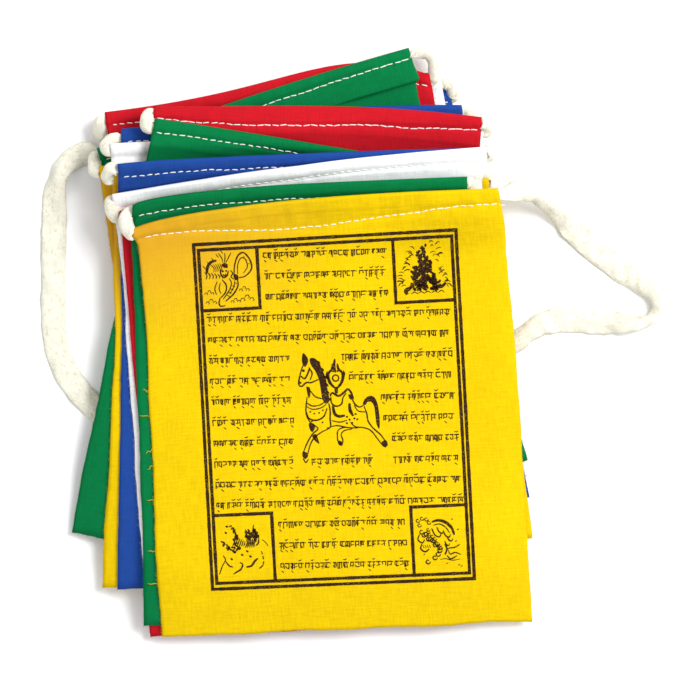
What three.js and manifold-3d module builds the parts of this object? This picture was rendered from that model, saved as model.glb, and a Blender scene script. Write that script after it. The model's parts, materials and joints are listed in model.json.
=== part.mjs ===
// Tibetan prayer flag string. Fifteen printed cotton flags, folded back and forth in a fanned pile, hang
// on one long cotton tape. The tape runs through every hem, turns back at alternate ends and ends in
// two free ties. Millimetres, +Z up. The origin is in the middle of the pile's flags, on the surface
// that the pile lies on. Flags are listed from the top of the pile to the bottom.
import * as THREE from 'three';
import { mergeVertices } from 'three/addons/utils/BufferGeometryUtils.js';
import Module from 'manifold-3d';

// Thicknesses and clearances
const CLOTH = 1.0;
const GAP = 0.3;
const TAPE_THICK = 0.8;
const TUNNEL = TAPE_THICK + 2 * GAP;
const LAYER = CLOTH + GAP;
const HEM_RISE = CLOTH + TUNNEL;

// Hem and tape
const HEM_DEPTH = 8;
const HEM_WALL = 1;
const HEM_STEPS = 8;
const TAPE_SIDE_GAP = 0.4;
const TAPE_WIDE = 10;
const ROPE_WIDE = 4.4;
const ROPE_THICK = 2.2;
const TURN_REACH = 9;
const TURN_STEPS = 7;
const RUN_OUT = 3;
const TURN_START = 1.2;
const BAND_SIDE_SLACK = 0.4;
const BAND_SLACK = 0.1;

// Shares of a turn's length: its middle half is fullest, and it climbs to the upper hem about its middle.
// The climb shifts with the lead of one hem's end over the other. A Bezier curve with equal handles
// reaches out three quarters of their length.
const PLUMP_POWER = 0.6;
const CLIMB_HALF = 0.22;
const CLIMB_SHIFT = 0.02;
const MOST_LEAD = 7;
const HANDLE_REACH = 0.75;
const END_PROBE = 0.03;

// How the cloth settles past an edge that it lies over
const EDGE_CLEAR = 2;
const SETTLE_OUT = 30;
const HEM_SETTLE_OUT = 16;
const TURN_ROOM = 14;
const CLOTH_SAMPLES = 60;
const HEM_SAMPLE_ROWS = 3;
const HEM_SAMPLE_COLUMNS = 80;

// Lines of the net on which the cloth heights are worked out: close at edges and hems, wide between
const NET_X = [-122, -106, -94, -84, -74, -62, -30, 10, 48, 62, 76, 90, 104];
const NET_Y = [-136, -122, -108, -94, -80, -50, 0, 36, 48, 58, 68, 78, 88, 98, 110, 130];

const DYES = [
  { name: 'yellow', hex: 0xfcb813 },
  { name: 'green', hex: 0x0a7a3e },
  { name: 'red', hex: 0xb8141e },
  { name: 'white', hex: 0xf1eff6 },
  { name: 'blue', hex: 0x1f4fb4 },
];
const TAPE_HEX = 0xeee6d6;
const CLOTH_ROUGHNESS = 0.9;
const TAPE_ROUGHNESS = 0.95;

// Half the height of the columns that cut a flag's outline out of a layer, and the welding distance
const TALL = 80;
const WELD = 1e-4;

// x, y: left end of the hem. width: along the hem. turn: angle of the hem. drop: length of the left side.
// lean: slant of the sides, foot towards +X. foot: angle of the lower edge. arch: how far the hem bows up,
// most at the share peak of its width.
const FLAGS = [
  { x: -74.7, y: 45.5, width: 150.0, turn: 6.0, drop: 166.2, lean: 4.5, foot: 2.4, arch: 5.3, peak: 0.33 },
  { x: -73.1, y: 54.8, width: 135.3, turn: 4.8, drop: 170.8, lean: 1.7, foot: 3.0, arch: 3.3, peak: 0.3 },
  { x: -79.6, y: 52.4, width: 133.0, turn: 3.2, drop: 173.4, lean: 4.2, foot: 2.9, arch: 0.0, peak: 0.5 },
  { x: -82.4, y: 58.1, width: 152.8, turn: 7.6, drop: 169.1, lean: 5.0, foot: 5.0, arch: 3.7, peak: 0.5 },
  { x: -80.8, y: 71.9, width: 148.3, turn: 2.5, drop: 173.0, lean: 0.0, foot: 1.5, arch: 1.4, peak: 0.35 },
  { x: -82.4, y: 68.2, width: 153.0, turn: -0.9, drop: 168.5, lean: -1.3, foot: -0.9, arch: 0.0, peak: 0.5 },
  { x: -65.8, y: 90.1, width: 135.0, turn: -9.2, drop: 171.5, lean: -11.5, foot: -11.0, arch: 1.2, peak: 0.4 },
  { x: -66.2, y: 95.4, width: 133.5, turn: -2.3, drop: 171.0, lean: -2.3, foot: -2.3, arch: 2.6, peak: 0.6 },
  { x: -82.4, y: 79.6, width: 150.8, turn: 3.1, drop: 170.0, lean: 3.1, foot: 3.1, arch: 0.0, peak: 0.5 },
  { x: -78.4, y: 85.7, width: 138.0, turn: 4.0, drop: 170.0, lean: 4.0, foot: 4.0, arch: 2.3, peak: 0.6 },
  { x: -87.3, y: 70.6, width: 153.0, turn: 6.7, drop: 170.5, lean: 8.0, foot: 6.7, arch: 0.0, peak: 0.5 },
  { x: -88.1, y: 78.0, width: 132.1, turn: 17.9, drop: 174.0, lean: 16.2, foot: 17.9, arch: 1.0, peak: 0.6 },
  { x: -85.7, y: 92.6, width: 131.4, turn: 6.9, drop: 170.0, lean: 11.0, foot: 6.9, arch: 7.7, peak: 0.75 },
  { x: -85.7, y: 86.1, width: 138.1, turn: 8.8, drop: 170.0, lean: 11.0, foot: 8.8, arch: 0.0, peak: 0.5 },
  { x: -86.5, y: 78.8, width: 142.8, turn: 9.5, drop: 169.5, lean: 11.0, foot: 9.5, arch: 0.0, peak: 0.5 },
];
const COUNT = FLAGS.length;
const BOTTOM = COUNT - 1;

// Free ties: x, y and lift above the floor of the tape's middle, its width and its roll about its length
const LEFT_TIE = [
  { x: -93.4, y: 75.6, lift: 1.3, wide: 7, roll: 0 },
  { x: -99.3, y: 74.0, lift: 1.2, wide: 6, roll: 30 },
  { x: -103.9, y: 69.0, lift: 1.6, wide: 6, roll: 60 },
  { x: -105.6, y: 61.0, lift: 1.2, wide: 8, roll: 20 },
  { x: -105.8, y: 47.9, lift: 0.5, wide: TAPE_WIDE, roll: 0 },
  { x: -106.1, y: 32.5, lift: 0.5, wide: TAPE_WIDE, roll: 0 },
  { x: -106.1, y: 17.9, lift: 0.5, wide: TAPE_WIDE, roll: 0 },
  { x: -106.1, y: 6.5, lift: 0.5, wide: TAPE_WIDE, roll: 0 },
  { x: -104.6, y: -4.1, lift: 0.5, wide: TAPE_WIDE, roll: 0 },
  { x: -101.1, y: -13.0, lift: 0.5, wide: TAPE_WIDE, roll: 0 },
  { x: -96.2, y: -20.2, lift: 0.5, wide: TAPE_WIDE, roll: 0 },
  { x: -91.0, y: -26.0, lift: 0.5, wide: TAPE_WIDE, roll: 0 },
  { x: -85.4, y: -31.0, lift: 0.5, wide: TAPE_WIDE, roll: 0 },
];
const RIGHT_TIE = [
  { x: 80.3, y: 59.4, lift: 21.5, wide: 7, roll: 0 },
  { x: 84.2, y: 58.6, lift: 18.5, wide: 8, roll: 0 },
  { x: 89.6, y: 55.6, lift: 12.5, wide: 8, roll: 20 },
  { x: 96.2, y: 50.2, lift: 6.0, wide: 7, roll: 50 },
  { x: 103.8, y: 43.6, lift: 2.4, wide: 9, roll: 15 },
  { x: 111.7, y: 37.6, lift: 0.6, wide: TAPE_WIDE, roll: 0 },
  { x: 120.4, y: 31.2, lift: 0.5, wide: TAPE_WIDE, roll: 0 },
  { x: 128.4, y: 25.0, lift: 0.6, wide: 9, roll: 10 },
  { x: 133.6, y: 19.8, lift: 1.6, wide: 6, roll: 50 },
  { x: 136.3, y: 14.4, lift: 2.2, wide: 5, roll: 80 },
  { x: 134.2, y: 9.4, lift: 2.0, wide: 5, roll: 80 },
  { x: 128.6, y: 7.3, lift: 1.4, wide: 7, roll: 40 },
  { x: 121.0, y: 7.1, lift: 0.6, wide: 9, roll: 10 },
  { x: 111.7, y: 7.5, lift: 0.5, wide: TAPE_WIDE, roll: 0 },
  { x: 99.5, y: 8.1, lift: 0.5, wide: TAPE_WIDE, roll: 0 },
  { x: 91.6, y: 6.6, lift: 0.5, wide: TAPE_WIDE, roll: 0 },
  { x: 84.6, y: 2.6, lift: 0.5, wide: TAPE_WIDE, roll: 0 },
];

const wasm = await Module();
wasm.setup();

const { lerp, degToRad, clamp, smoothstep } = THREE.MathUtils;
const heading = (degrees) => new THREE.Vector2(Math.cos(degToRad(degrees)), Math.sin(degToRad(degrees)));

// A point of a flag as it lies: u along the hem from its left end, v down from the hem's edge to the foot
function flagPoint(flag, u, v) {
  const hemEnd = new THREE.Vector2(flag.x, flag.y);
  const along = heading(flag.turn);
  const bow = Math.sin(Math.PI * clamp(u, 0, 1) ** (Math.log(0.5) / Math.log(flag.peak)));
  const top = hemEnd.clone().addScaledVector(along, u * flag.width);
  top.addScaledVector(new THREE.Vector2(-along.y, along.x), flag.arch * bow);
  const foot = hemEnd.addScaledVector(heading(flag.lean - 90), flag.drop);
  foot.addScaledVector(heading(flag.foot), u * flag.width);
  return top.lerp(foot, v);
}

// The strip of a flag between two depths below its hem's edge, running past its ends by some length
function strip(flag, fromDepth, toDepth, past) {
  const share = past / flag.width;
  const stations = Array.from({ length: HEM_STEPS + 1 }, (_, i) => i / HEM_STEPS);
  if (past > 0) stations.splice(0, stations.length, -share, ...stations, 1 + share);
  const near = stations.map((u) => flagPoint(flag, u, toDepth / flag.drop));
  const far = stations.reverse().map((u) => flagPoint(flag, u, fromDepth / flag.drop));
  return [...near, ...far];
}

// Heights on the net
const net = (value) => NET_X.map((x, i) => NET_Y.map((y, j) => value(x, y, i, j)));
const added = (field, amount) => net((x, y, i, j) => field[i][j] + amount);
const cellOf = (lines, at) => clamp(lines.findIndex((line) => line > at) - 1, 0, lines.length - 2);

// 1 on every net cell that a point of the footprint lies in, easing to 0 at the given distance from it
function footprint(points, easeOut) {
  const held = new Map();
  for (const p of points) {
    const i = cellOf(NET_X, p.x);
    const j = cellOf(NET_Y, p.y);
    for (const [a, b] of [[i, j], [i + 1, j], [i, j + 1], [i + 1, j + 1]])
      held.set(a * NET_Y.length + b, [NET_X[a], NET_Y[b]]);
  }
  const corners = [...held.values()];
  return net((x, y) => {
    const near = Math.min(...corners.map(([cx, cy]) => Math.hypot(x - cx, y - cy)));
    return 1 - smoothstep(near, 0, easeOut);
  });
}

function samples(flag, fromV, toV, past, rows, columns) {
  const points = [];
  const share = past / flag.width;
  for (let i = 0; i <= columns; i++)
    for (let j = 0; j <= rows; j++)
      points.push(flagPoint(flag, lerp(-share, 1 + share, i / columns), lerp(fromV, toV, j / rows)));
  return points;
}

// The height of a field at a point, on the same flat triangles as the cloth
function heightAt(field, x, y) {
  const i = cellOf(NET_X, x);
  const j = cellOf(NET_Y, y);
  const s = (x - NET_X[i]) / (NET_X[i + 1] - NET_X[i]);
  const t = (y - NET_Y[j]) / (NET_Y[j + 1] - NET_Y[j]);
  const [a, b, c, d] = [field[i][j], field[i + 1][j], field[i + 1][j + 1], field[i][j + 1]];
  return s >= t ? a + s * (b - a) + t * (c - b) : a + t * (d - a) + s * (c - d);
}

// Solids
function solidOf(positions, triangles) {
  return new wasm.Manifold(new wasm.Mesh({
    numProp: 3,
    vertProperties: new Float32Array(positions),
    triVerts: new Uint32Array(triangles),
  }));
}

function solidFrom(geometry) {
  geometry.deleteAttribute('normal');
  geometry.deleteAttribute('uv');
  const merged = mergeVertices(geometry, WELD);
  return solidOf(merged.attributes.position.array, merged.index.array);
}

// Everything on the net between two height fields
function layerBetween(low, high) {
  const rows = NET_Y.length;
  const size = NET_X.length * rows;
  const positions = [];
  for (const field of [low, high])
    NET_X.forEach((x, i) => NET_Y.forEach((y, j) => positions.push(x, y, field[i][j])));
  const triangles = [];
  const quad = (a, b, c, d) => triangles.push(a, b, c, a, c, d);
  for (let i = 0; i < NET_X.length - 1; i++)
    for (let j = 0; j < rows - 1; j++) {
      const [a, b] = [i * rows + j, (i + 1) * rows + j];
      const [c, d] = [b + 1, a + 1];
      quad(a + size, b + size, c + size, d + size);
      triangles.push(a, c, b, a, d, c);
    }
  for (let i = 0; i < NET_X.length - 1; i++) {
    const [a, b] = [i * rows, (i + 1) * rows];
    quad(a, b, b + size, a + size);
    quad(b + rows - 1, a + rows - 1, a + rows - 1 + size, b + rows - 1 + size);
  }
  for (let j = 0; j < rows - 1; j++) {
    const last = (NET_X.length - 1) * rows;
    quad(j + 1, j, j + size, j + 1 + size);
    quad(last + j, last + j + 1, last + j + 1 + size, last + j + size);
  }
  return solidOf(positions, triangles);
}

function column(points) {
  const geometry = new THREE.ExtrudeGeometry(new THREE.Shape(points), { depth: 2 * TALL, bevelEnabled: false });
  return solidFrom(geometry.translate(0, 0, -TALL));
}

// A soft band with a flattened six-sided section, swept through stations
const SECTION = [[0.5, 0], [0.3, 0.5], [-0.3, 0.5], [-0.5, 0], [-0.3, -0.5], [0.3, -0.5]];
function band(stations) {
  const sides = SECTION.length;
  const positions = [];
  stations.forEach((station, i) => {
    const before = stations[Math.max(i - 1, 0)].at;
    const after = stations[Math.min(i + 1, stations.length - 1)].at;
    const ahead = after.clone().sub(before).normalize();
    const across = station.across.clone().addScaledVector(ahead, -station.across.dot(ahead)).normalize();
    const up = ahead.clone().cross(across).normalize();
    for (const [w, h] of SECTION) {
      const corner = station.at.clone().addScaledVector(across, w * station.wide);
      positions.push(...corner.addScaledVector(up, h * station.thick));
    }
  });
  const triangles = [];
  for (let i = 0; i < stations.length - 1; i++)
    for (let k = 0; k < sides; k++) {
      const [a, b] = [i * sides + k, i * sides + (k + 1) % sides];
      triangles.push(a, b, b + sides, a, b + sides, a + sides);
    }
  const last = (stations.length - 1) * sides;
  for (let k = 1; k < sides - 1; k++) {
    triangles.push(0, k + 1, k);
    triangles.push(last, last + k, last + k + 1);
  }
  const made = solidOf(positions, triangles);
  return made.volume() > 0 ? made : solidOf(positions, triangles.reverse());
}

// What each flag adds to the pile under the flags above it
const clothSamples = (flag) => samples(
  flag, -EDGE_CLEAR / flag.drop, 1 + EDGE_CLEAR / flag.drop, EDGE_CLEAR, CLOTH_SAMPLES, CLOTH_SAMPLES);
const hemSamples = (flag) => samples(
  flag, 0, HEM_DEPTH / flag.drop, TURN_ROOM, HEM_SAMPLE_ROWS, HEM_SAMPLE_COLUMNS);
const cover = FLAGS.map((flag) => footprint([...clothSamples(flag), ...hemSamples(flag)], SETTLE_OUT));
const hemCover = FLAGS.map((flag) => footprint(hemSamples(flag), HEM_SETTLE_OUT));
const tieCover = footprint([...LEFT_TIE, ...RIGHT_TIE]
  .filter((p) => p.lift < HEM_RISE && p.x > NET_X[0] && p.x < NET_X[NET_X.length - 1]), HEM_SETTLE_OUT);

const under = [];
under[BOTTOM] = net(() => 0);
for (let k = BOTTOM - 1; k >= 0; k--)
  under[k] = net((x, y, i, j) => under[k + 1][i][j]
    + LAYER * cover[k + 1][i][j]
    + HEM_RISE * hemCover[k + 1][i][j]
    + (k === BOTTOM - 1 ? LAYER * tieCover[i][j] : 0));
const front = under.map((field, k) => net((x, y, i, j) => field[i][j] + HEM_RISE * hemCover[k][i][j]));

// One flag: the printed cloth, and its hem folded to the back round an open tunnel
function flagSolid(flag, k) {
  const top = added(front[k], CLOTH);
  const outline = [];
  for (let i = 0; i <= HEM_STEPS; i++) outline.push(flagPoint(flag, 1 - i / HEM_STEPS, 0));
  outline.push(flagPoint(flag, 0, 1), flagPoint(flag, 1, 1));
  const sheet = layerBetween(front[k], top).intersect(column(outline));
  const hem = layerBetween(under[k], top).intersect(column(strip(flag, 0, HEM_DEPTH, 0)));
  const tunnel = layerBetween(added(under[k], CLOTH), front[k])
    .intersect(column(strip(flag, HEM_WALL, HEM_DEPTH - HEM_WALL, TURN_REACH)));
  return sheet.add(hem).subtract(tunnel);
}

// The tape's middle height where it lies in a hem
const tapeHeight = (k, x, y) => heightAt(under[k], x, y) + CLOTH + TUNNEL / 2;
const tapeInset = HEM_WALL + TAPE_SIDE_GAP;
const tapeInHem = HEM_DEPTH - 2 * tapeInset;
const bandInHem = { wide: tapeInHem - BAND_SIDE_SLACK, thick: TAPE_THICK - BAND_SLACK };

function tapeRun(flag, k) {
  const shape = strip(flag, tapeInset, HEM_DEPTH - tapeInset, RUN_OUT);
  return layerBetween(added(under[k], CLOTH + GAP), added(front[k], -GAP)).intersect(column(shape));
}

// Where the tape leaves a hem, and which way it goes there
function hemEnd(k, right) {
  const flag = FLAGS[k];
  const v = HEM_DEPTH / 2 / flag.drop;
  const end = flagPoint(flag, right ? 1 : 0, v);
  const inside = flagPoint(flag, right ? 1 - END_PROBE : END_PROBE, v);
  return { end, out: end.clone().sub(inside).normalize() };
}

function acrossTape(out, rollDegrees) {
  const across = new THREE.Vector3(-out.y, out.x, 0);
  return across.applyAxisAngle(new THREE.Vector3(out.x, out.y, 0).normalize(), degToRad(rollDegrees));
}

// The turn from the hem of flag k to the hem under it
function tapeTurn(k, right) {
  const upper = hemEnd(k, right);
  const lower = hemEnd(k + 1, right);
  const lead = upper.end.clone().sub(lower.end).dot(lower.out);
  const reachLower = (TURN_REACH + Math.max(lead, 0)) / HANDLE_REACH;
  const reachUpper = (TURN_REACH + Math.max(-lead, 0)) / HANDLE_REACH;
  const start = lower.end.clone().addScaledVector(lower.out, TURN_START);
  const finish = upper.end.clone().addScaledVector(upper.out, TURN_START);
  const route = new THREE.CubicBezierCurve(start, start.clone().addScaledVector(lower.out, reachLower),
    finish.clone().addScaledVector(upper.out, reachUpper), finish);
  const midway = 0.5 + CLIMB_SHIFT * clamp(lead, -MOST_LEAD, MOST_LEAD);
  const side = new THREE.Vector2(-lower.out.y, lower.out.x);
  const stations = [];
  const place = (p, rise, wide, thick) => {
    const level = (q) => lerp(tapeHeight(k + 1, q.x, q.y), tapeHeight(k, q.x, q.y), rise);
    const slope = (level(p.clone().add(side)) - level(p.clone().sub(side))) / 2;
    const across = new THREE.Vector3(side.x, side.y, slope).normalize();
    stations.push({ at: new THREE.Vector3(p.x, p.y, level(p)), across, wide, thick });
  };
  for (let i = 0; i <= TURN_STEPS; i++) {
    const s = i / TURN_STEPS;
    const plump = Math.sin(Math.PI * s) ** PLUMP_POWER;
    const wide = lerp(bandInHem.wide, ROPE_WIDE, plump);
    const thick = lerp(bandInHem.thick, ROPE_THICK, plump);
    place(route.getPoint(s), smoothstep(s, midway - CLIMB_HALF, midway + CLIMB_HALF), wide, thick);
  }
  return band(stations);
}

// A free tie: out of its hem, then along the table of its stations
function tie(k, right, table) {
  const { end, out } = hemEnd(k, right);
  const lift = tapeHeight(k, end.x, end.y);
  const rows = [
    { x: end.x + out.x * TURN_START, y: end.y + out.y * TURN_START, lift, roll: 0, ...bandInHem },
    ...table.map((row) => ({ thick: TAPE_THICK, ...row })),
  ];
  return band(rows.map((row, i) => {
    const before = rows[Math.max(i - 1, 0)];
    const after = rows[Math.min(i + 1, rows.length - 1)];
    const ahead = new THREE.Vector2(after.x - before.x, after.y - before.y).normalize();
    const lowest = row.wide / 2 * Math.sin(degToRad(row.roll)) + row.thick / 2;
    return {
      at: new THREE.Vector3(row.x, row.y, Math.max(row.lift, lowest)),
      across: acrossTape(ahead, row.roll),
      wide: row.wide,
      thick: row.thick,
    };
  }));
}

function tapeSolid() {
  let tape = FLAGS.map(tapeRun).reduce((all, run) => all.add(run));
  for (let k = 0; k < BOTTOM; k++) tape = tape.add(tapeTurn(k, k % 2 === 1));
  return tape.add(tie(BOTTOM, false, LEFT_TIE)).add(tie(0, true, RIGHT_TIE));
}

// The pile's middle, which goes to the origin
function pileMiddle() {
  const box = new THREE.Box2();
  for (const flag of FLAGS)
    for (let i = 0; i <= HEM_STEPS; i++) {
      box.expandByPoint(flagPoint(flag, i / HEM_STEPS, 0));
      box.expandByPoint(flagPoint(flag, i / HEM_STEPS, 1));
    }
  return box.getCenter(new THREE.Vector2());
}

function meshOf(solid, name, hex, roughness) {
  const { vertProperties, triVerts } = solid.getMesh();
  const geometry = new THREE.BufferGeometry();
  geometry.setAttribute('position', new THREE.BufferAttribute(new Float32Array(vertProperties), 3));
  geometry.setIndex(new THREE.BufferAttribute(new Uint32Array(triVerts), 1));
  geometry.computeVertexNormals();
  const mesh = new THREE.Mesh(geometry, new THREE.MeshStandardMaterial({ color: hex, roughness, metalness: 0 }));
  mesh.name = name;
  return mesh;
}

const middle = pileMiddle();
const group = new THREE.Group();
group.position.set(-middle.x, -middle.y, 0);
FLAGS.forEach((flag, k) => {
  const dye = DYES[k % DYES.length];
  const number = String(k + 1).padStart(2, '0');
  group.add(meshOf(flagSolid(flag, k), `flag_${number}_${dye.name}`, dye.hex, CLOTH_ROUGHNESS));
});
group.add(meshOf(tapeSolid(), 'tape', TAPE_HEX, TAPE_ROUGHNESS));

export default group;
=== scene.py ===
import json
import math
import random
from collections import namedtuple

import bpy
import numpy as np
from bpy.props import FloatProperty, FloatVectorProperty, IntProperty, PointerProperty
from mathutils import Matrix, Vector, noise
from mathutils.bvhtree import BVHTree
from mathutils.geometry import delaunay_2d_cdt

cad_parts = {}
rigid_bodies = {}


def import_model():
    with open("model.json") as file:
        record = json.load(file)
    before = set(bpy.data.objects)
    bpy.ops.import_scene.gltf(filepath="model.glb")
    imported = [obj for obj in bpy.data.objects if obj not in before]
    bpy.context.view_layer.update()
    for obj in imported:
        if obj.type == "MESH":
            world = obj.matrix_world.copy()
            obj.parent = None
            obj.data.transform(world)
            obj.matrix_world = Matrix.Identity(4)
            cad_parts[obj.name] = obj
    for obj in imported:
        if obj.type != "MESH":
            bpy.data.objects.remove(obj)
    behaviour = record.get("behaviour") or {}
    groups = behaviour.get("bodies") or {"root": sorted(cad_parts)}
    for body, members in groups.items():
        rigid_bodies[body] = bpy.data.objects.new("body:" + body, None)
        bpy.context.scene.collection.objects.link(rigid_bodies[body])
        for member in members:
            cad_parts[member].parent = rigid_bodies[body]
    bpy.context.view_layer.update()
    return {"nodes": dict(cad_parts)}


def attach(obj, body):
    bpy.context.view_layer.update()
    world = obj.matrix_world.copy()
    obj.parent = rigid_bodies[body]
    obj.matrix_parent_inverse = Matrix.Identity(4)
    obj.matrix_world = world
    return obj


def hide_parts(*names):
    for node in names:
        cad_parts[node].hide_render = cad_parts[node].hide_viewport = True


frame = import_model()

bl_info = {
    "name": "Prayer Flag String",
    "version": (1, 0, 0),
    "blender": (4, 5, 0),
    "location": "3D View > Sidebar > Prayer Flags",
    "description": "Dresses a folded string of block-printed cotton prayer flags on one cotton tape",
    "category": "Object",
}

MM = 0.001

# The pile, from the top flag to the bottom one, as the frame holds it: millimetres and degrees.
# x, y: left end of the hem. width: along the hem. turn: angle of the hem. drop: length of the left side.
# lean: slant of the sides. foot: angle of the lower edge. arch, peak: how far and where the hem bows up.

Flag = namedtuple("Flag", "x y width turn drop lean foot arch peak")
FLAGS = [
    Flag(-74.7, 45.5, 150.0, 6.0, 166.2, 4.5, 2.4, 5.3, 0.33),
    Flag(-73.1, 54.8, 135.3, 4.8, 170.8, 1.7, 3.0, 3.3, 0.3),
    Flag(-79.6, 52.4, 133.0, 3.2, 173.4, 4.2, 2.9, 0.0, 0.5),
    Flag(-82.4, 58.1, 152.8, 7.6, 169.1, 5.0, 5.0, 3.7, 0.5),
    Flag(-80.8, 71.9, 148.3, 2.5, 173.0, 0.0, 1.5, 1.4, 0.35),
    Flag(-82.4, 68.2, 153.0, -0.9, 168.5, -1.3, -0.9, 0.0, 0.5),
    Flag(-65.8, 90.1, 135.0, -9.2, 171.5, -11.5, -11.0, 1.2, 0.4),
    Flag(-66.2, 95.4, 133.5, -2.3, 171.0, -2.3, -2.3, 2.6, 0.6),
    Flag(-82.4, 79.6, 150.8, 3.1, 170.0, 3.1, 3.1, 0.0, 0.5),
    Flag(-78.4, 85.7, 138.0, 4.0, 170.0, 4.0, 4.0, 2.3, 0.6),
    Flag(-87.3, 70.6, 153.0, 6.7, 170.5, 8.0, 6.7, 0.0, 0.5),
    Flag(-88.1, 78.0, 132.1, 17.9, 174.0, 16.2, 17.9, 1.0, 0.6),
    Flag(-85.7, 92.6, 131.4, 6.9, 170.0, 11.0, 6.9, 7.7, 0.75),
    Flag(-85.7, 86.1, 138.1, 8.8, 170.0, 11.0, 8.8, 0.0, 0.5),
    Flag(-86.5, 78.8, 142.8, 9.5, 169.5, 11.0, 9.5, 0.0, 0.5),
]
DYES = ("yellow", "green", "red", "white", "blue")
BOTTOM = len(FLAGS) - 1

# Free ties: x, y and lift of the tape's middle, the width it shows and its roll, all the way from the hem
Rest = namedtuple("Rest", "x y lift wide roll")
LEFT_TIE = [
    Rest(-92.4, 75.9, 1.4, 9, 0), Rest(-98.6, 73.6, 1.2, 9, 10), Rest(-103.6, 68.4, 1.6, 8, 35),
    Rest(-105.6, 61.0, 1.2, 9, 15), Rest(-105.8, 47.9, 0.5, 10, 0), Rest(-106.1, 32.5, 0.5, 10, 0),
    Rest(-106.1, 17.9, 0.5, 10, 0), Rest(-106.1, 6.5, 0.5, 10, 0), Rest(-104.6, -4.1, 0.5, 10, 0),
    Rest(-101.1, -13.0, 0.5, 10, 0), Rest(-96.2, -20.2, 0.5, 10, 0), Rest(-91.0, -26.0, 0.5, 10, 0),
    Rest(-85.4, -31.0, 0.5, 10, 0),
]
RIGHT_TIE = [
    Rest(80.6, 59.8, 21.5, 8, 0), Rest(85.2, 60.2, 18.5, 8, 8), Rest(91.2, 57.4, 12.5, 8, 18),
    Rest(97.6, 52.0, 6.0, 8, 26), Rest(104.4, 45.0, 2.4, 10, 12), Rest(112.1, 37.8, 0.6, 10, 0),
    Rest(120.4, 31.2, 0.5, 10, 0), Rest(128.4, 25.0, 0.6, 9, 10), Rest(135.4, 19.6, 1.6, 8, 34),
    Rest(138.9, 14.0, 2.2, 6, 66), Rest(136.2, 8.8, 2.0, 6, 66), Rest(128.6, 7.3, 1.4, 7, 40),
    Rest(121.0, 7.1, 0.6, 9, 10), Rest(111.7, 7.5, 0.5, 10, 0), Rest(99.5, 8.1, 0.5, 10, 0),
    Rest(91.6, 6.4, 0.6, 9, 8), Rest(86.0, 3.2, 0.8, 8, 18), Rest(81.2, -0.6, 0.6, 8, 12),
    Rest(77.6, -3.4, 0.5, 7, 6),
]

# How far each left side lies inside its straight line, as (depth, inset)
SIDE_INSETS = {
    0: ((0, 1.0), (3, 1.2), (9, 3.4), (32, 3.65), (45, 3.65), (57, 2.9), (69, 2.2), (81, 2.3), (93, 1.6),
        (106, 1.2), (118, 0.8), (130, 0.1), (166, 0.0)),
    1: ((0, 0.0), (18, -0.9), (170, -1.0)),
    2: ((0, 0.6), (16, 0.8), (40, 1.2), (77, 1.7), (95, 2.3), (101, 2.4), (113, 1.5), (125, 1.0), (145, 0.1)),
    3: ((0, 0.6), (21, 1.2), (46, 2.0), (58, 1.2), (95, 0.8), (110, 0.0)),
    4: ((0, 1.8), (60, 2.4), (96, 2.4), (120, 2.0), (145, 1.6), (157, 0.8), (170, 0.3)),
    5: ((0, 0.5), (32, 1.6), (56, 2.4), (80, 3.1), (93, 2.4), (115, 2.0), (129, 1.6), (141, 0.8), (155, 0.0)),
    6: ((0, 1.5), (170, 1.0)),
    7: ((0, 1.2), (170, 0.5)),
}
# The same for right sides
RIGHT_INSETS = {
    0: ((0, 0.8), (3, 0.2), (8, -0.4), (14, -0.7), (24, -0.4), (45, -1.0), (90, -1.2), (120, -0.5),
        (150, 0.0)),
    3: ((0, 0.0), (9, 0.4), (13, 3.0), (22, 3.2), (60, 2.0), (110, 0.0)),
    11: ((0, 0.0), (8, -0.3), (13.7, -0.9), (15.0, 1.1), (22, 1.9), (60, 1.9), (120, 0.0)),
    12: ((0, -1.5), (40, -1.5), (100, 0.0)),
}
INSET_REACH = 9.0

# How far each hem's upper edge lies below the solid's, at five even places from left to right, and how far
# down the cloth that is felt
HEM_DROPS = {
    0: (1.6, 1.7, 0.9, 0.2, 0.0), 1: (0.4, 0.5, 0.4, 0.4, 0.3), 3: (-0.6, 0.9, 1.7, 1.2, 0.4),
    4: (1.3, 1.5, 1.4, 1.0, 0.8), 6: (0.7, 1.3, 1.5, 1.0, 0.8), 7: (0.9, 0.9, 0.8, 0.4, 0.0),
}
OTHER_HEMS_DROP = (0.3,) * 5
HEM_DROP_REACH = 11.0

# Hem, as it is sewn, in millimetres: depth of the part folded back, thickness over the tape, depth of the
# stitches, rise over the tape, dip at the stitches and height of the gathers. A route gives (share of the
# width, depth of the stitches); most rows run straight.
HEM_THICK = 3.2
STITCH_ROUTES = {
    0: ((0.0, 6.0), (0.05, 6.5), (0.18, 8.4), (0.33, 11.2), (0.5, 12.0), (0.72, 8.8), (0.84, 7.0),
        (1.0, 5.7)),
    7: ((0.0, 5.5), (0.25, 8.2), (0.5, 8.4), (0.8, 7.3), (1.0, 5.3)),
    11: ((0.0, 5.8), (0.55, 5.5), (1.0, 4.4)),
}
STITCH_DEPTH = 5.9
HEM_PUFF = 0.35
STITCH_DIP = 0.7
HEM_GATHER = 0.34

# The print: its corners on the top flag as shares of hem and side, clockwise from the top left, and its size
# in millimetres. The other flags have it in the middle of their width, from the first of PRINT_SHARES of the
# side down to the second.
PRINT_CORNERS = ((0.163, 0.079), (0.879, 0.088), (0.856, 0.899), (0.141, 0.896))
PRINT_SHARES = (0.15, 0.95)
PRINT_SIZE = (107.4, 141.5)

# Width of the frame's two lines, the steps between them, and the corner boxes: how far across and down
FRAME_LINE = 1.32
FRAME_STEP = 2.35
FRAME_SIDE_STEP = 1.85
BOXES = {
    "top left": (26.2, 27.6), "top right": (26.3, 28.6),
    "foot left": (26.2, 30.6), "foot right": (24.9, 30.5),
}

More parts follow.
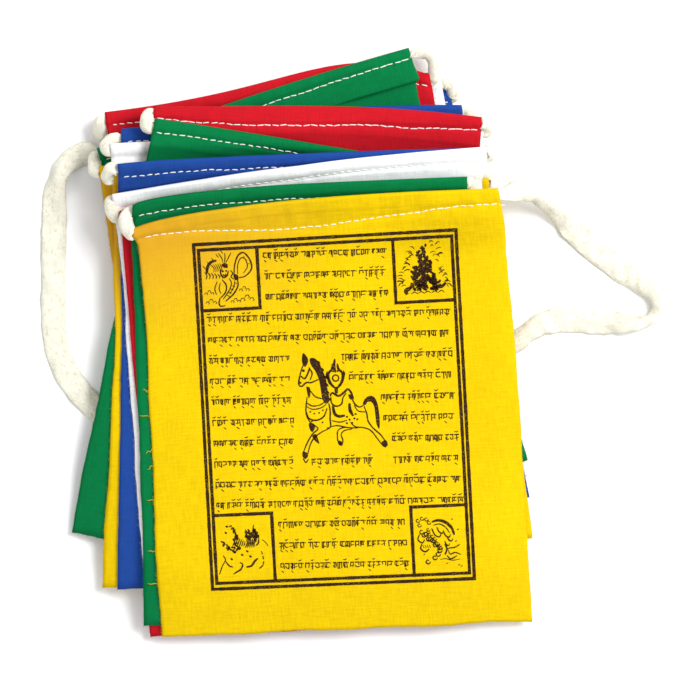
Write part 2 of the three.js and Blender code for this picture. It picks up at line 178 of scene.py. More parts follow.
# Rows of marks: the first one's distance from the print's upper edge, the pitch, their slant, and where the
# marks of each row start and end
ROW_TOP = 6.1
ROW_PITCH = 8.4
ROW_SKEW = 0.02
ROWS = (
    [(28.6, 79.5)], [(28.6, 79.5)], [(28.6, 79.5)], [(4.2, 103.4)], [(4.2, 103.4)],
    [(4.2, 38.0), (57.8, 103.4)], [(4.2, 36.5), (60.5, 103.4)], [(4.2, 36.5), (73.0, 103.4)],
    [(4.2, 38.0), (73.5, 103.4)], [(4.2, 37.0), (76.5, 103.4)], [(4.2, 38.0), (43.5, 70.0), (76.5, 103.4)],
    [(4.2, 103.4)], [(4.2, 103.4)], [(28.6, 80.5)], [(28.6, 80.5)], [(28.6, 80.5)],
)

# Turns of the tape between two hems: reach past the hem, width shown and swell past the two hems, and the
# same by upper flag for turns that differ. Then the share of the tape's width that isn't folded under, the
# share of its handles that a curve reaches, how far it is followed back into each hem, and its roll in
# degrees.
TURN_SHAPE = (0.9, 5.5, 1.4)
TURN_SHAPES = {6: (2.4, 6.8, 2.6), 4: (1.2, 5.8, 2.2)}
TURN_SHARE = 0.84
TURN_CURVE = 0.75
TURN_LEAD = 6.0
TURN_ROLL = 38

# The tape in a hem: the width it is folded to, its depth below the hem's edge, and where it starts and ends,
# as shares of the hem. Then the crumple of its folds and their lengths in metres, its lowest height, and the
# metres of tape between one turn and the next. The step of a tie and its least and most width are last.
TAPE_IN_HEM = 3.2
TAPE_DEPTH = 3.6
TAPE_RUN = (0.045, 0.955)
TAPE_CRUMPLE = 0.5
CRUMPLE_LENGTHS = (0.0055, 0.008)
TAPE_LOWEST = 0.00004
TAPE_STEP = 0.1
TIE_STEP = 1.1
TIE_WIDTHS = (4.5, 9.9)

# The view: a camera far above looks straight down, and one photograph's width spans VIEW_SPAN metres. The
# floor's half side and level, and the lamp, are in metres too.
VIEW_MIDDLE = (14.21, -4.06)
VIEW_SPAN = 0.2842
CAMERA_HEIGHT = 4.0
SENSOR = 36.0
FLOOR_SIDE = 3.0
FLOOR_LEVEL = -0.0001
LAMP_PLACE = (0.95, 0.52, 1.6)
LAMP_SIZE = 0.85

# Ends of the sewing thread: flag, share of the hem, and reach in millimetres. Then the depths at which
# threads of the top flag's left edge have come loose, and the radius of both kinds in metres.
TAILS = ((11, 0.995, (2.6, 5.4, 0.4)), (11, 0.999, (4.2, 3.0, 0.2)), (8, 0.12, (-4.2, -4.6, 0.3)),
         (3, 0.02, (-2.4, 1.4, 0.2)), (7, 0.03, (-1.4, -2.2, 0.2)), (0, 0.995, (2.2, -1.2, -0.3)))
FRAYS = (67.0, 77.5, 90.0, 97.0, 111.0, 131.0, 145.0)
TAIL_RADIUS = 0.00016
FRAY_RADIUS = 0.00015

# Sewing, in metres: how far the stitches and the raw edges' threads stand off the cloth, pitch and radius of
# those threads, and how uneven the stitches are, as a share
SEWN_LIFT = 0.00012
RAW_EDGE_LIFT = -0.0002
RAW_EDGE_PITCH = 0.0009
RAW_EDGE_RADIUS = 0.00009
UNEVENNESS = 0.16

# Painted shade on these dyes round the top flag's hem's left end, where the cloth slopes away from the lamp:
# colour of the shade, squeeze of the patch in height, and its reach in metres
PAINTED_CORNER_SHADE = {"yellow": (0.60, 0.285, 0.02)}
CORNER_SHADE_SQUEEZE = 1.7
CORNER_SHADE_REACH = (0.008, 0.085)

# Lowest height of the cloths, in metres. The raw edges' threads start a third of their length above it.
LOWEST = 0.00003

# A soft fold across the lower right of a flag's shown strip
Crease = namedtuple("Crease", "flag depth start fall")
CREASE = Crease(11, 14.4, 0.70, 2.3)

# Stitches that were pulled longer than the rest, by flag
LONG_STITCHES = {7: 1.32, 11: 1.3, 0: 1.08}

# Steps of the cloth's points along the hem and down the side, and passes of smoothing: top flag, other
# flags. Then the depths of the close rows by the stitches, in millimetres.
Grain = namedtuple("Grain", "along down smoothing")
TOP_GRAIN = Grain(1.3, 1.35, 8)
GRAIN = Grain(1.7, 3.4, 3)
CLOSE_DEPTHS = [2.3, 3.1, 3.9, 4.6, 5.2, 5.6, STITCH_DEPTH, 6.3, 6.8, 7.4, 8.0, 8.6, 9.4, 10.3, 11.2, 12.1,
                13.0]

# Each flag is cut from another place of the bolt, this far from the last one's, in metres
BOLT_STEP = (0.37, 0.23)

# Uneven edges: height and length of the slow and the quick waves in millimetres, and how far in they are felt
SIDE_WAVES = ((0.35, 26), (0.1, 2.6))
FOOT_WAVES = ((0.4, 24), (0.1, 2.4))
EDGE_REACH = 3.0

# Soft folds: lengths in millimetres, across and down, of the ripples, of a flag's own waves and of the
# gathers by the stitches. A flag's own waves and its edges' turn down have their heights in metres.
RIPPLE_LENGTHS = (42, 30)
OWN_LENGTHS = (13, 17)
OWN_HEIGHT = 0.00013
GATHER_LENGTHS = (3.4, 11)
GATHER_DEPTH = 5.5
EDGE_SINK = 0.00035
EDGE_SINK_REACH = 2.2

# Each flag's cloth and what is printed and sewn on it, by flag
cloths = {}


# Settings

class ClothSettings(bpy.types.PropertyGroup):
    thickness: FloatProperty(name="Thickness", description="Thickness of the cotton", default=0.00045,
                             min=0.0002, max=0.001, unit="LENGTH", precision=5)
    thread: FloatProperty(name="Thread pitch", description="Distance between threads of the weave",
                          default=0.00055, min=0.0002, max=0.002, unit="LENGTH", precision=5)
    ripple: FloatProperty(name="Ripple", description="Height of the soft ripples that all the flags share",
                          default=0.0004, min=0.0, max=0.001, unit="LENGTH", precision=5)
    yellow: FloatVectorProperty(name="Yellow", description="Yellow dye", subtype="COLOR", size=3,
                                min=0.0, max=1.0, default=(0.72, 0.49, 0.001))
    green: FloatVectorProperty(name="Green", description="Green dye", subtype="COLOR", size=3,
                               min=0.0, max=1.0, default=(0.001, 0.165, 0.046))
    red: FloatVectorProperty(name="Red", description="Red dye", subtype="COLOR", size=3,
                             min=0.0, max=1.0, default=(0.50, 0.008, 0.016))
    white: FloatVectorProperty(name="White", description="Bleached cloth", subtype="COLOR", size=3,
                               min=0.0, max=1.0, default=(0.90, 0.90, 0.93))
    blue: FloatVectorProperty(name="Blue", description="Blue dye", subtype="COLOR", size=3,
                              min=0.0, max=1.0, default=(0.014, 0.060, 0.29))


class TapeSettings(bpy.types.PropertyGroup):
    width: FloatProperty(name="Width", description="Width of the tape", default=0.010,
                         min=0.004, max=0.02, unit="LENGTH", precision=4)
    thickness: FloatProperty(name="Thickness", description="Thickness of the tape", default=0.0008,
                             min=0.0003, max=0.002, unit="LENGTH", precision=5)
    colour: FloatVectorProperty(name="Colour", description="Undyed cotton", subtype="COLOR", size=3,
                                min=0.0, max=1.0, default=(0.83, 0.81, 0.69))


class StitchSettings(bpy.types.PropertyGroup):
    pitch: FloatProperty(name="Pitch", description="Distance from stitch to stitch", default=0.0031,
                         min=0.001, max=0.01, unit="LENGTH", precision=5)
    length: FloatProperty(name="Length", description="Length of a stitch that shows", default=0.0022,
                          min=0.0005, max=0.01, unit="LENGTH", precision=5)
    radius: FloatProperty(name="Thread radius", description="Radius of the sewing thread",
                          default=0.00022, min=0.0001, max=0.001, unit="LENGTH", precision=5)
    fringe: FloatProperty(name="Raw edge", description="Length of the thread ends along the raw edges",
                          default=0.0008, min=0.0, max=0.004, unit="LENGTH", precision=5)
    seed: IntProperty(name="Seed", description="Unevenness of the sewing and the raw edges", default=11)
    colour: FloatVectorProperty(name="Thread", description="White cotton thread", subtype="COLOR", size=3,
                                min=0.0, max=1.0, default=(0.88, 0.87, 0.84))


class PrintSettings(bpy.types.PropertyGroup):
    ink: FloatVectorProperty(name="Ink", description="Dark brown block ink", subtype="COLOR", size=3,
                             min=0.0, max=1.0, default=(0.026, 0.009, 0.006))
    lift: FloatProperty(name="Lift", description="How far the ink stands on the cloth", default=0.00007,
                        min=0.00002, max=0.0003, unit="LENGTH", precision=6)
    seed: IntProperty(name="Seed", description="Order of the plain marks in the rows", default=5)


class StageSettings(bpy.types.PropertyGroup):
    key: FloatProperty(name="Key light", description="Power of the soft light from the right",
                       default=33.0, min=0.0, unit="POWER")
    fill: FloatProperty(name="Fill", description="Strength of the light from all round",
                        default=0.80, min=0.0)
    floor: FloatVectorProperty(name="Floor", description="Colour of the floor", subtype="COLOR", size=3,
                               min=0.0, max=1.0, default=(0.97, 0.97, 0.97))


# Plan of the flags

def heading(degrees):
    return np.array((math.cos(math.radians(degrees)), math.sin(math.radians(degrees))))


def flag_point(flag, u, v):
    """Plan point, in millimetres: u along the hem from its left end, v down from the hem's edge."""
    u, v = np.broadcast_arrays(np.asarray(u, float), np.asarray(v, float))
    along = heading(flag.turn)
    bow = np.sin(np.pi * np.clip(u, 0, 1) ** (math.log(0.5) / math.log(flag.peak)))
    start = np.array((flag.x, flag.y))
    top = start + u[..., None] * flag.width * along
    top = top + (flag.arch * bow)[..., None] * np.array((-along[1], along[0]))
    foot = start + heading(flag.lean - 90) * flag.drop + u[..., None] * flag.width * heading(flag.foot)
    return top + (foot - top) * v[..., None]


def pile_middle():
    ends = np.array([flag_point(f, i / 8, v) for f in FLAGS for i in range(9) for v in (0, 1)])
    return (ends.min(axis=0) + ends.max(axis=0)) / 2


MIDDLE = pile_middle()


def flag_name(k):
    return f"flag_{k + 1:02d}_{DYES[k % len(DYES)]}"


# Small tools

def soft_noise(x, y, seed):
    """Smooth noise from about -1 to 1 over two arrays of the same shape."""
    x, y = np.broadcast_arrays(np.asarray(x, float), np.asarray(y, float))
    flat = [noise.noise(Vector((a, b, seed))) for a, b in zip(x.ravel(), y.ravel())]
    return np.array(flat).reshape(x.shape) * 2


def smoothstep(x, low, high):
    t = np.clip((x - low) / (high - low), 0, 1)
    return t * t * (3 - 2 * t)


def smoothed(field, axis, passes):
    """Repeated averaging of neighbours along one axis, with the ends held."""
    field = np.moveaxis(field, axis, 0).copy()
    for _ in range(passes):
        inner = (field[:-2] + 2 * field[1:-1] + field[2:]) / 4
        field[1:-1] = inner
    return np.moveaxis(field, 0, axis)


def spline(points, step):
    """Catmull-Rom through rows of numbers, with stations about step apart in the first columns."""
    p = np.asarray(points, float)
    p = np.vstack((2 * p[0] - p[1], p, 2 * p[-1] - p[-2]))
    out = []
    for i in range(1, len(p) - 2):
        count = max(int(np.linalg.norm(p[i + 1, :2] - p[i, :2]) / step), 1)
        for t in np.arange(count) / count:
            out.append(0.5 * (2 * p[i] + (p[i + 1] - p[i - 1]) * t
                              + (2 * p[i - 1] - 5 * p[i] + 4 * p[i + 1] - p[i + 2]) * t ** 2
                              + (3 * p[i] - p[i - 1] - 3 * p[i + 1] + p[i + 2]) * t ** 3))
    out.append(p[-2])
    return np.array(out)


def new_mesh(name, verts, faces, uvs=None):
    """A smooth mesh object at the origin; uvs holds one pair a vertex, in metres of cloth."""
    mesh = bpy.data.meshes.new(name)
    mesh.from_pydata([tuple(v) for v in verts], [], [tuple(f) for f in faces])
    if uvs is not None:
        layer = mesh.uv_layers.new(name="cloth")
        index = np.empty(len(mesh.loops), int)
        mesh.loops.foreach_get("vertex_index", index)
        layer.data.foreach_set("uv", np.asarray(uvs, np.float32)[index].ravel())
    mesh.polygons.foreach_set("use_smooth", [True] * len(mesh.polygons))
    mesh.update()
    obj = bpy.data.objects.new(name, mesh)
    bpy.context.scene.collection.objects.link(obj)
    return obj


def grid_faces(rows, columns, start=0):
    i, j = np.meshgrid(np.arange(rows - 1), np.arange(columns - 1), indexing="ij")
    a = start + i * columns + j
    return np.stack((a, a + 1, a + columns + 1, a + columns), axis=-1).reshape(-1, 4)


# Materials

RIB_PITCH = 0.0008
SLUB_SCALES = ((1400, 160, 1), (150, 1500, 1))


class NodeMaker:
    """Short ways to add and join nodes in one tree."""

    def add(self, kind, inputs=(), **settings):
        node = self.tree.nodes.new(kind)
        for key, value in settings.items():
            setattr(node, key, value)
        for key, value in dict(inputs).items():
            self.set(node.inputs[key], value)
        return node

    def set(self, socket, value):
        if isinstance(value, bpy.types.NodeSocket):
            self.tree.links.new(value, socket)
        else:
            socket.default_value = value

    def math(self, operation, a, b=0.0):
        return self.add("ShaderNodeMath", {0: a, 1: b}, operation=operation).outputs[0]


class Nodes(NodeMaker):
    """Shader nodes of one material."""

    def __init__(self, name):
        self.material = bpy.data.materials.get(name) or bpy.data.materials.new(name)
        self.material.use_nodes = True
        self.tree = self.material.node_tree
        self.tree.nodes.clear()

    def mix(self, factor, a, b):
        node = self.add("ShaderNodeMix", data_type="RGBA")
        self.set(node.inputs["Factor"], factor)
        self.set(node.inputs["A"], a if isinstance(a, bpy.types.NodeSocket) else (*a, 1))
        self.set(node.inputs["B"], b if isinstance(b, bpy.types.NodeSocket) else (*b, 1))
        return node.outputs["Result"]

    def noise(self, vector, scale, detail=2.0, roughness=0.5):
        return self.add("ShaderNodeTexNoise", {"Vector": vector, "Scale": scale, "Detail": detail,
                                               "Roughness": roughness}).outputs["Fac"]

    def stretched(self, vector, scale):
        return self.add("ShaderNodeMapping", {"Vector": vector, "Scale": scale}).outputs[0]

    def ranged(self, value, low, high, to_low, to_high):
        return self.add("ShaderNodeMapRange", {"Value": value, "From Min": low, "From Max": high,
                                               "To Min": to_low, "To Max": to_high}).outputs[0]

    def finish(self, colour, height, bump, roughness, sheen, sheen_tint, deep=0.00015):
        shader = self.add("ShaderNodeBsdfPrincipled", {"Base Color": colour, "Roughness": roughness,
                                                       "Specular IOR Level": 0.08, "Sheen Weight": sheen,
                                                       "Sheen Roughness": 0.5,
                                                       "Sheen Tint": (*sheen_tint, 1)})
        relief = self.add("ShaderNodeBump", {"Height": height, "Strength": bump, "Distance": deep})
        self.tree.links.new(relief.outputs[0], shader.inputs["Normal"])
        output = self.add("ShaderNodeOutputMaterial")
        self.tree.links.new(shader.outputs[0], output.inputs[0])
        return self.material


def shade(colour, amount):
    return tuple(min(c * amount, 1.0) for c in colour)


def weave_nodes(n, pitch):
    """Plain weave on the cloth's own lengths: the height of the threads, and their slubs."""
    cloth = n.add("ShaderNodeUVMap", uv_map="cloth").outputs[0]
    axes = n.add("ShaderNodeSeparateXYZ", {0: cloth})
    turn = math.pi / pitch
    warp = n.math("SINE", n.math("MULTIPLY", axes.outputs["X"], turn))
    weft = n.math("SINE", n.math("MULTIPLY", axes.outputs["Y"], turn))
    threads = n.math("MULTIPLY", warp, weft)
    slubs_up, slubs_across = (n.math("MULTIPLY", n.noise(n.stretched(cloth, scale), 1.0, 2.0), 0.5)
                              for scale in SLUB_SCALES)
    slubs = n.math("ADD", slubs_up, slubs_across)
    height = n.math("ADD", n.math("MULTIPLY", threads, 0.3), slubs)
    return cloth, threads, slubs, height


def cotton(name, colour, pitch, corner_shade=None):
    """Dyed cotton. Given a shade colour, painted shade darkens the cloth to orange round the left end of the
    top flag's hem.
    """
    n = Nodes(name)
    cloth, threads, slubs, height = weave_nodes(n, pitch)
    cloudy = n.noise(n.stretched(cloth, (28, 22, 1)), 1.0, 3.0)
    tone = n.math("ADD", n.ranged(slubs, 0.36, 0.64, 0.0, 0.7), n.ranged(cloudy, 0.3, 0.7, 0.0, 0.3))
    tone = n.math("ADD", tone, n.math("MULTIPLY", threads, 0.12))
    colour_out = n.mix(tone, shade(colour, 0.84), shade(colour, 1.11))
    # Painted shade: a patch of deeper orange at the top flag's hem's left end, where the cloth slopes away
    # from the lamp
    if corner_shade:
        place = n.stretched(n.add("ShaderNodeTexCoord").outputs["Object"], (1, CORNER_SHADE_SQUEEZE, 0))
        x, y = (flag_point(FLAGS[0], 0, 0) - MIDDLE) * MM
        away = n.add("ShaderNodeVectorMath", {0: place, 1: (x, y * CORNER_SHADE_SQUEEZE, 0)}, operation="DISTANCE")
        share = n.ranged(away.outputs["Value"], *CORNER_SHADE_REACH, 0.85, 0.0)
        colour_out = n.mix(share, colour_out, corner_shade)
    return n.finish(colour_out, height, bump=0.7, roughness=0.92, sheen=0.03, sheen_tint=shade(colour, 1.2))


def tape_cotton(name, colour):
    """Soft herringbone twill with uneven loops, and darker specks of seed coat in it."""
    n = Nodes(name)
    cloth = n.add("ShaderNodeUVMap", uv_map="cloth").outputs[0]
    axes = n.add("ShaderNodeSeparateXYZ", {0: cloth})
    slant = n.math("ADD", axes.outputs["X"], n.math("ABSOLUTE", axes.outputs["Y"]))
    ribs = n.math("SINE", n.math("MULTIPLY", slant, 2 * math.pi / RIB_PITCH))
    fuzz = n.noise(cloth, 820.0, 3.0)
    loops = n.noise(n.stretched(cloth, (1.0, 1.6, 1.0)), 1300.0, 2.0)
    worn = n.noise(cloth, 160.0, 3.0)
    height = n.math("ADD", n.math("MULTIPLY", ribs, 0.22), n.math("MULTIPLY", fuzz, 1.5))
    tone = n.math("ADD", n.ranged(worn, 0.35, 0.65, 0.2, 0.8), n.math("MULTIPLY", ribs, 0.14))
    tone = n.math("ADD", tone, n.ranged(loops, 0.35, 0.65, -0.3, 0.3))
    clean = n.mix(tone, shade(colour, 0.84), shade(colour, 1.08))
    seed_coat = n.ranged(n.noise(n.stretched(cloth, (1.0, 1.7, 1.0)), 520.0, 2.0), 0.54, 0.70, 0.0, 0.7)
    colour_out = n.mix(seed_coat, clean, (colour[0] * 0.76, colour[1] * 0.68, colour[2] * 0.50))
    return n.finish(colour_out, height, bump=0.6, roughness=0.95, sheen=0.05, sheen_tint=colour, deep=0.0003)


# Cloth of a flag

def top_of(node, plan):
    """Height of a CAD node's upper face under each plan point, in metres."""
    mesh = frame["nodes"][node].data
    places, faces = [v.co.copy() for v in mesh.vertices], [tuple(p.vertices) for p in mesh.polygons]
    tree = BVHTree.FromPolygons(places, faces)
    down = Vector((0, 0, -1))
    heights = np.full(plan.shape[:-1], np.nan)
    for index in np.ndindex(heights.shape):
        hit = tree.ray_cast(Vector((*plan[index], 1.0)), down)[0]
        if hit is not None:
            heights[index] = hit.z
    return heights


def filled(heights):
    """The same heights, with each gap taken from its nearest neighbour along the row, or the nearest row."""
    for row in heights:
        known = np.flatnonzero(~np.isnan(row))
        if len(known):
            row[:] = row[known[np.abs(np.arange(len(row))[:, None] - known).argmin(axis=1)]]
    good = np.flatnonzero(~np.isnan(heights[:, 0]))
    return heights[good[np.abs(np.arange(len(heights))[:, None] - good).argmin(axis=1)]]


def stitch_depth(k, u):
    """Depth of the stitches below the hem's edge, in millimetres."""
    route = STITCH_ROUTES.get(k)
    straight = np.full(np.shape(u), STITCH_DEPTH)
    return np.interp(u, *zip(*route)) if route else straight


HEM_BACK_ROWS = 6


def hem_profile():
    """Rows over the hem, as (depth, sink below the front): those of the folded-back layer, then the fold."""
    radius = HEM_THICK / 2
    rows = [(7.8, 2.4), (6.8, 2.2), (STITCH_DEPTH, 2.0), (5.0, 2.8), (3.8, HEM_THICK), (2.6, HEM_THICK)]
    rows += [(radius - radius * math.cos(a), radius - radius * math.sin(a))
             for a in np.radians((-90, -60, -30, 0, 30, 60, 90))]
    return rows


def front_depths(k, grain):
    """Depths of the rows on the front: close by the stitches, wider below, and close again at a crease."""
    count = int((FLAGS[k].drop - CLOSE_DEPTHS[-1]) / grain.down)
    depths = CLOSE_DEPTHS + list(np.linspace(CLOSE_DEPTHS[-1], FLAGS[k].drop, count + 1)[1:])
    if k == CREASE.flag:
        depths = sorted(depths + [CREASE.depth + away for away in (-0.6, -0.2, 0.2, 0.6, 1.4)])
    return depths


def hem_relief(depth, stitches):
    """Rise of the front over the hem: full over the tape, drawn in along the stitches."""
    puff = HEM_PUFF * np.exp(-((depth - 0.55 * stitches) / (0.3 * stitches)) ** 2)
    dip = STITCH_DIP * np.exp(-((depth - stitches) / 1.0) ** 2)
    return puff - dip


def side_shift(k, u, depth):
    """Shift of each point along the hem, as a share of the width, that gives the sides their own lines."""
    width = FLAGS[k].width
    shift = 0 * depth
    for table, way, away in ((SIDE_INSETS, 1, u), (RIGHT_INSETS, -1, 1 - u)):
        if k in table:
            inset = np.interp(depth, *zip(*table[k]))
            shift = shift + way * inset * np.exp(-away * width / INSET_REACH) / width
    return shift


def uneven(waves, along, line, seeds):
    """Slow waves with quick ones on them, in millimetres."""
    return sum(high * soft_noise(along / long, line, seed) for (high, long), seed in zip(waves, seeds))


def cloth_plan(k, u, depth, shift):
    """Plan of the cloth, in metres: its sides and foot wander a little, and its upper edge drops."""
    flag = FLAGS[k]
    outward = np.where(u < 0.5, -1.0, 1.0)
    side = uneven(SIDE_WAVES, depth, outward * 3, (k + 0.5, k + 9.5))
    side = side * np.exp(-np.minimum(u, 1 - u) * flag.width / EDGE_REACH)
    foot = uneven(FOOT_WAVES, u * flag.width, 0 * depth, (k + 4.5, k + 14.5))
    foot = foot * np.exp(-(flag.drop - depth) / EDGE_REACH)
    drop = np.interp(u, np.linspace(0, 1, 5), HEM_DROPS.get(k, OTHER_HEMS_DROP))
    drop = drop * (1 - smoothstep(depth, 0, HEM_DROP_REACH))
    across = u + shift + outward * side / flag.width
    down = depth / flag.drop + foot / flag.drop + drop / flag.drop
    return (flag_point(flag, across, down) - MIDDLE) * MM


def solid_height(k, u, depth, hem_rows, passes):
    """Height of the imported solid, read a little inside its edges and smoothed, in metres."""
    flag = FLAGS[k]
    inside = flag_point(flag, np.clip(u, 0.006, 0.994), np.clip(depth / flag.drop, 0.004, 0.994))
    base = smoothed(filled(top_of(flag_name(k), (inside - MIDDLE) * MM)), 1, 8)
    base[hem_rows:] = smoothed(base[hem_rows:], 0, passes)
    return base


def soft_folds(k, u, depth, plan, ripple):
    """Rise of the cloth over the solid, in metres: ripples, gathers, edges that turn down, and the crease."""
    flag = FLAGS[k]
    x_mm = u * flag.width
    rise = ripple * soft_noise(*(plan[..., axis] / MM / RIPPLE_LENGTHS[axis] for axis in (0, 1)), 2.5)
    rise = rise + OWN_HEIGHT * soft_noise(x_mm / OWN_LENGTHS[0], depth / OWN_LENGTHS[1], k + 21.5)
    gather = soft_noise(x_mm / GATHER_LENGTHS[0], depth / GATHER_LENGTHS[1], k + 33.5)
    rise = rise + HEM_GATHER * MM * gather * np.exp(-((depth - GATHER_DEPTH) / 5.0) ** 2)
    to_edge = np.minimum(np.minimum(u, 1 - u) * flag.width, np.where(depth > 20, flag.drop - depth, 99))
    if k == CREASE.flag:
        below = smoothstep(depth, CREASE.depth - 0.4, CREASE.depth + 0.5)
        below = below * (1 - smoothstep(depth, CREASE.depth + 8, CREASE.depth + 30))
        rise = rise - CREASE.fall * MM * below * smoothstep(u, CREASE.start, CREASE.start + 0.12)
    return rise - EDGE_SINK * np.exp(-to_edge / EDGE_SINK_REACH)


def closed_sheet(surface, back):
    """Verts and faces of a thin closed sheet between two grids of points."""
    rows, cols = surface.shape[:2]
    size = rows * cols
    faces = list(grid_faces(rows, cols)[:, ::-1]) + list(grid_faces(rows, cols, size))
    rim = [(0, j) for j in range(cols)] + [(i, cols - 1) for i in range(1, rows)]
    rim += [(rows - 1, j) for j in range(cols - 2, -1, -1)] + [(i, 0) for i in range(rows - 2, 0, -1)]
    ids = [i * cols + j for i, j in rim]
    faces += [(a, b, b + size, a + size) for a, b in zip(ids, ids[1:] + ids[:1])]
    return np.concatenate((surface.reshape(-1, 3), back.reshape(-1, 3))), faces


def make_cloth(k, settings):
    """The flag as one sheet with its hem folded to the back. Keeps its front for the print and stitches."""
    flag = FLAGS[k]
    grain = TOP_GRAIN if k == 0 else GRAIN
    u = np.linspace(0, 1, int(flag.width / grain.along) + 1)
    hem, shown = hem_profile(), front_depths(k, grain)
    front = len(hem)
    depths = np.array([d for d, _ in hem] + shown)
    sunk = np.array([s for _, s in hem] + [0] * len(shown))[:, None] * MM
    along, depth = np.meshgrid(u, depths)
    stitches = stitch_depth(k, along)
    behind = np.arange(len(depths))[:, None] < HEM_BACK_ROWS
    fold = HEM_THICK / 2
    depth = np.where(behind, fold + (depth - fold) * stitches / STITCH_DEPTH, depth)

    shift = side_shift(k, along, depth)
    plan = cloth_plan(k, along, depth, shift)
    z = solid_height(k, along + shift, depth, front, grain.smoothing)
    z = z + soft_folds(k, along, depth, plan, settings.ripple)
    z = z + hem_relief(depth, stitches) * MM * (sunk == 0) - sunk
    surface = np.dstack((plan, z))

    normal = np.cross(np.gradient(surface, axis=1), np.gradient(surface, axis=0))
    normal /= np.linalg.norm(normal, axis=-1, keepdims=True)
    normal *= np.sign(normal[-1, 0, 2])
    back = surface - normal * settings.thickness
    lift = np.maximum(LOWEST - np.minimum(surface[..., 2], back[..., 2]), 0)
    surface[..., 2] += lift
    back[..., 2] += lift
    steps = np.linalg.norm(np.diff(surface[:, len(u) // 2], axis=0), axis=-1)
    run = np.concatenate(((0,), np.cumsum(steps)))[:, None]
    uv = np.dstack((along * flag.width * MM + k * BOLT_STEP[0], -(run + 0 * along) - k * BOLT_STEP[1]))
    uvs = np.concatenate((uv.reshape(-1, 2), uv.reshape(-1, 2)))
    cloth = new_mesh(flag_name(k) + "_cloth", *closed_sheet(surface, back), uvs)
    cloths[k] = {"object": cloth, "u": u, "depth": depths[front:], "front": surface[front:],
                 "normal": normal[front:], "uv": uv[front:], "mates": []}
    return cloth


def on_cloth(k, u, depth, lift):
    """Points on the front of flag k, lift above the cloth: u along the hem, depth down from it in mm."""
    cloth = cloths[k]
    u, depth = np.asarray(u, float), np.asarray(depth, float)
    j = np.clip(np.searchsorted(cloth["u"], u) - 1, 0, len(cloth["u"]) - 2)
    i = np.clip(np.searchsorted(cloth["depth"], depth) - 1, 0, len(cloth["depth"]) - 2)
    s = ((u - cloth["u"][j]) / (cloth["u"][j + 1] - cloth["u"][j]))[..., None]
    t = ((depth - cloth["depth"][i]) / (cloth["depth"][i + 1] - cloth["depth"][i]))[..., None]

    def at(field):
        return ((field[i, j] * (1 - s) + field[i, j + 1] * s) * (1 - t)
                + (field[i + 1, j] * (1 - s) + field[i + 1, j + 1] * s) * t)

    return at(cloth["front"]) + at(cloth["normal"]) * lift, at(cloth["uv"])


# Tape

def curl_for(share):
    """Half angle of an arc whose chord is that share of its length."""
    angle = 0.001
    while math.sin(angle) / angle > share:
        angle += 0.01
    return angle


def ribbon(stations, width, thickness, start=0.0):
    """Verts, faces, uvs and ring centres of a soft tape. A station is (x, y, z, width it shows, roll, share
    of the tape's full width that isn't folded under)."""
    half = 6
    t = np.linspace(-1, 1, 2 * half + 1)
    places = stations[:, :3]
    ahead = np.gradient(places, axis=0)
    ahead /= np.linalg.norm(ahead, axis=1, keepdims=True)
    verts, uvs, run = [], [], start
    for i, station in enumerate(stations):
        if i:
            run += np.linalg.norm(places[i] - places[i - 1])
        own = width * station[5]
        wide, roll = station[3], math.radians(station[4])
        flat = Vector((-ahead[i][1], ahead[i][0], 0))
        forward = Vector(ahead[i])
        flat = (flat - forward * flat.dot(forward)).normalized()
        up = forward.cross(flat)
        across = flat * math.cos(roll) + up * math.sin(roll)
        up = forward.cross(across)
        angle = curl_for(min(wide / own, 0.999))
        reach = own / 2 / angle
        ring = []
        loose = TAPE_CRUMPLE * MM * float(smoothstep(station[5], 0.4, 0.8))
        along, slant = (run / length for length in CRUMPLE_LENGTHS)
        crumple = [loose * noise.noise(Vector((along, share * 1.3 + slant, start * 91))) * 2 for share in t]
        for sign in (1, -1):
            for share, crease in zip(*((t, crumple) if sign > 0 else (t[::-1], crumple[::-1]))):
                out = reach + crease + sign * thickness / 2 * (1 - 0.5 * abs(share) ** 8)
                side = math.sin(angle * share) * out
                rise = math.cos(angle * share) * out - reach * (1 + math.cos(angle)) / 2
                ring.append(Vector(places[i]) + across * side + up * rise)
                uvs.append((run, share * own / 2))
        lowest = min(p.z for p in ring)
        verts += [(p.x, p.y, p.z + max(TAPE_LOWEST - lowest, 0)) for p in ring]
    verts = np.array(verts)
    sides = 4 * half + 2
    faces = []
    for i in range(len(stations) - 1):
        for j in range(sides):
            a, b = i * sides + j, i * sides + (j + 1) % sides
            faces.append((a, a + sides, b + sides, b))
    faces.append(tuple(range(sides)))
    faces.append(tuple(range(len(verts) - 1, len(verts) - sides - 1, -1)))
    centres = verts.reshape(len(stations), sides, 3).mean(axis=1)
    return verts, faces, np.array(uvs), centres


def hem_end(k, right):
    """Where the tape leaves a hem, in metres, and which way it goes there in plan."""
    flag = FLAGS[k]
    end, inside = (1, 0.97) if right else (0, 0.03)
    depth = TAPE_DEPTH
    point, _ = on_cloth(k, [end], [depth], -HEM_THICK / 2 * MM)
    out = flag_point(flag, end, depth / flag.drop) - flag_point(flag, inside, depth / flag.drop)
    return point[0], out / np.linalg.norm(out)


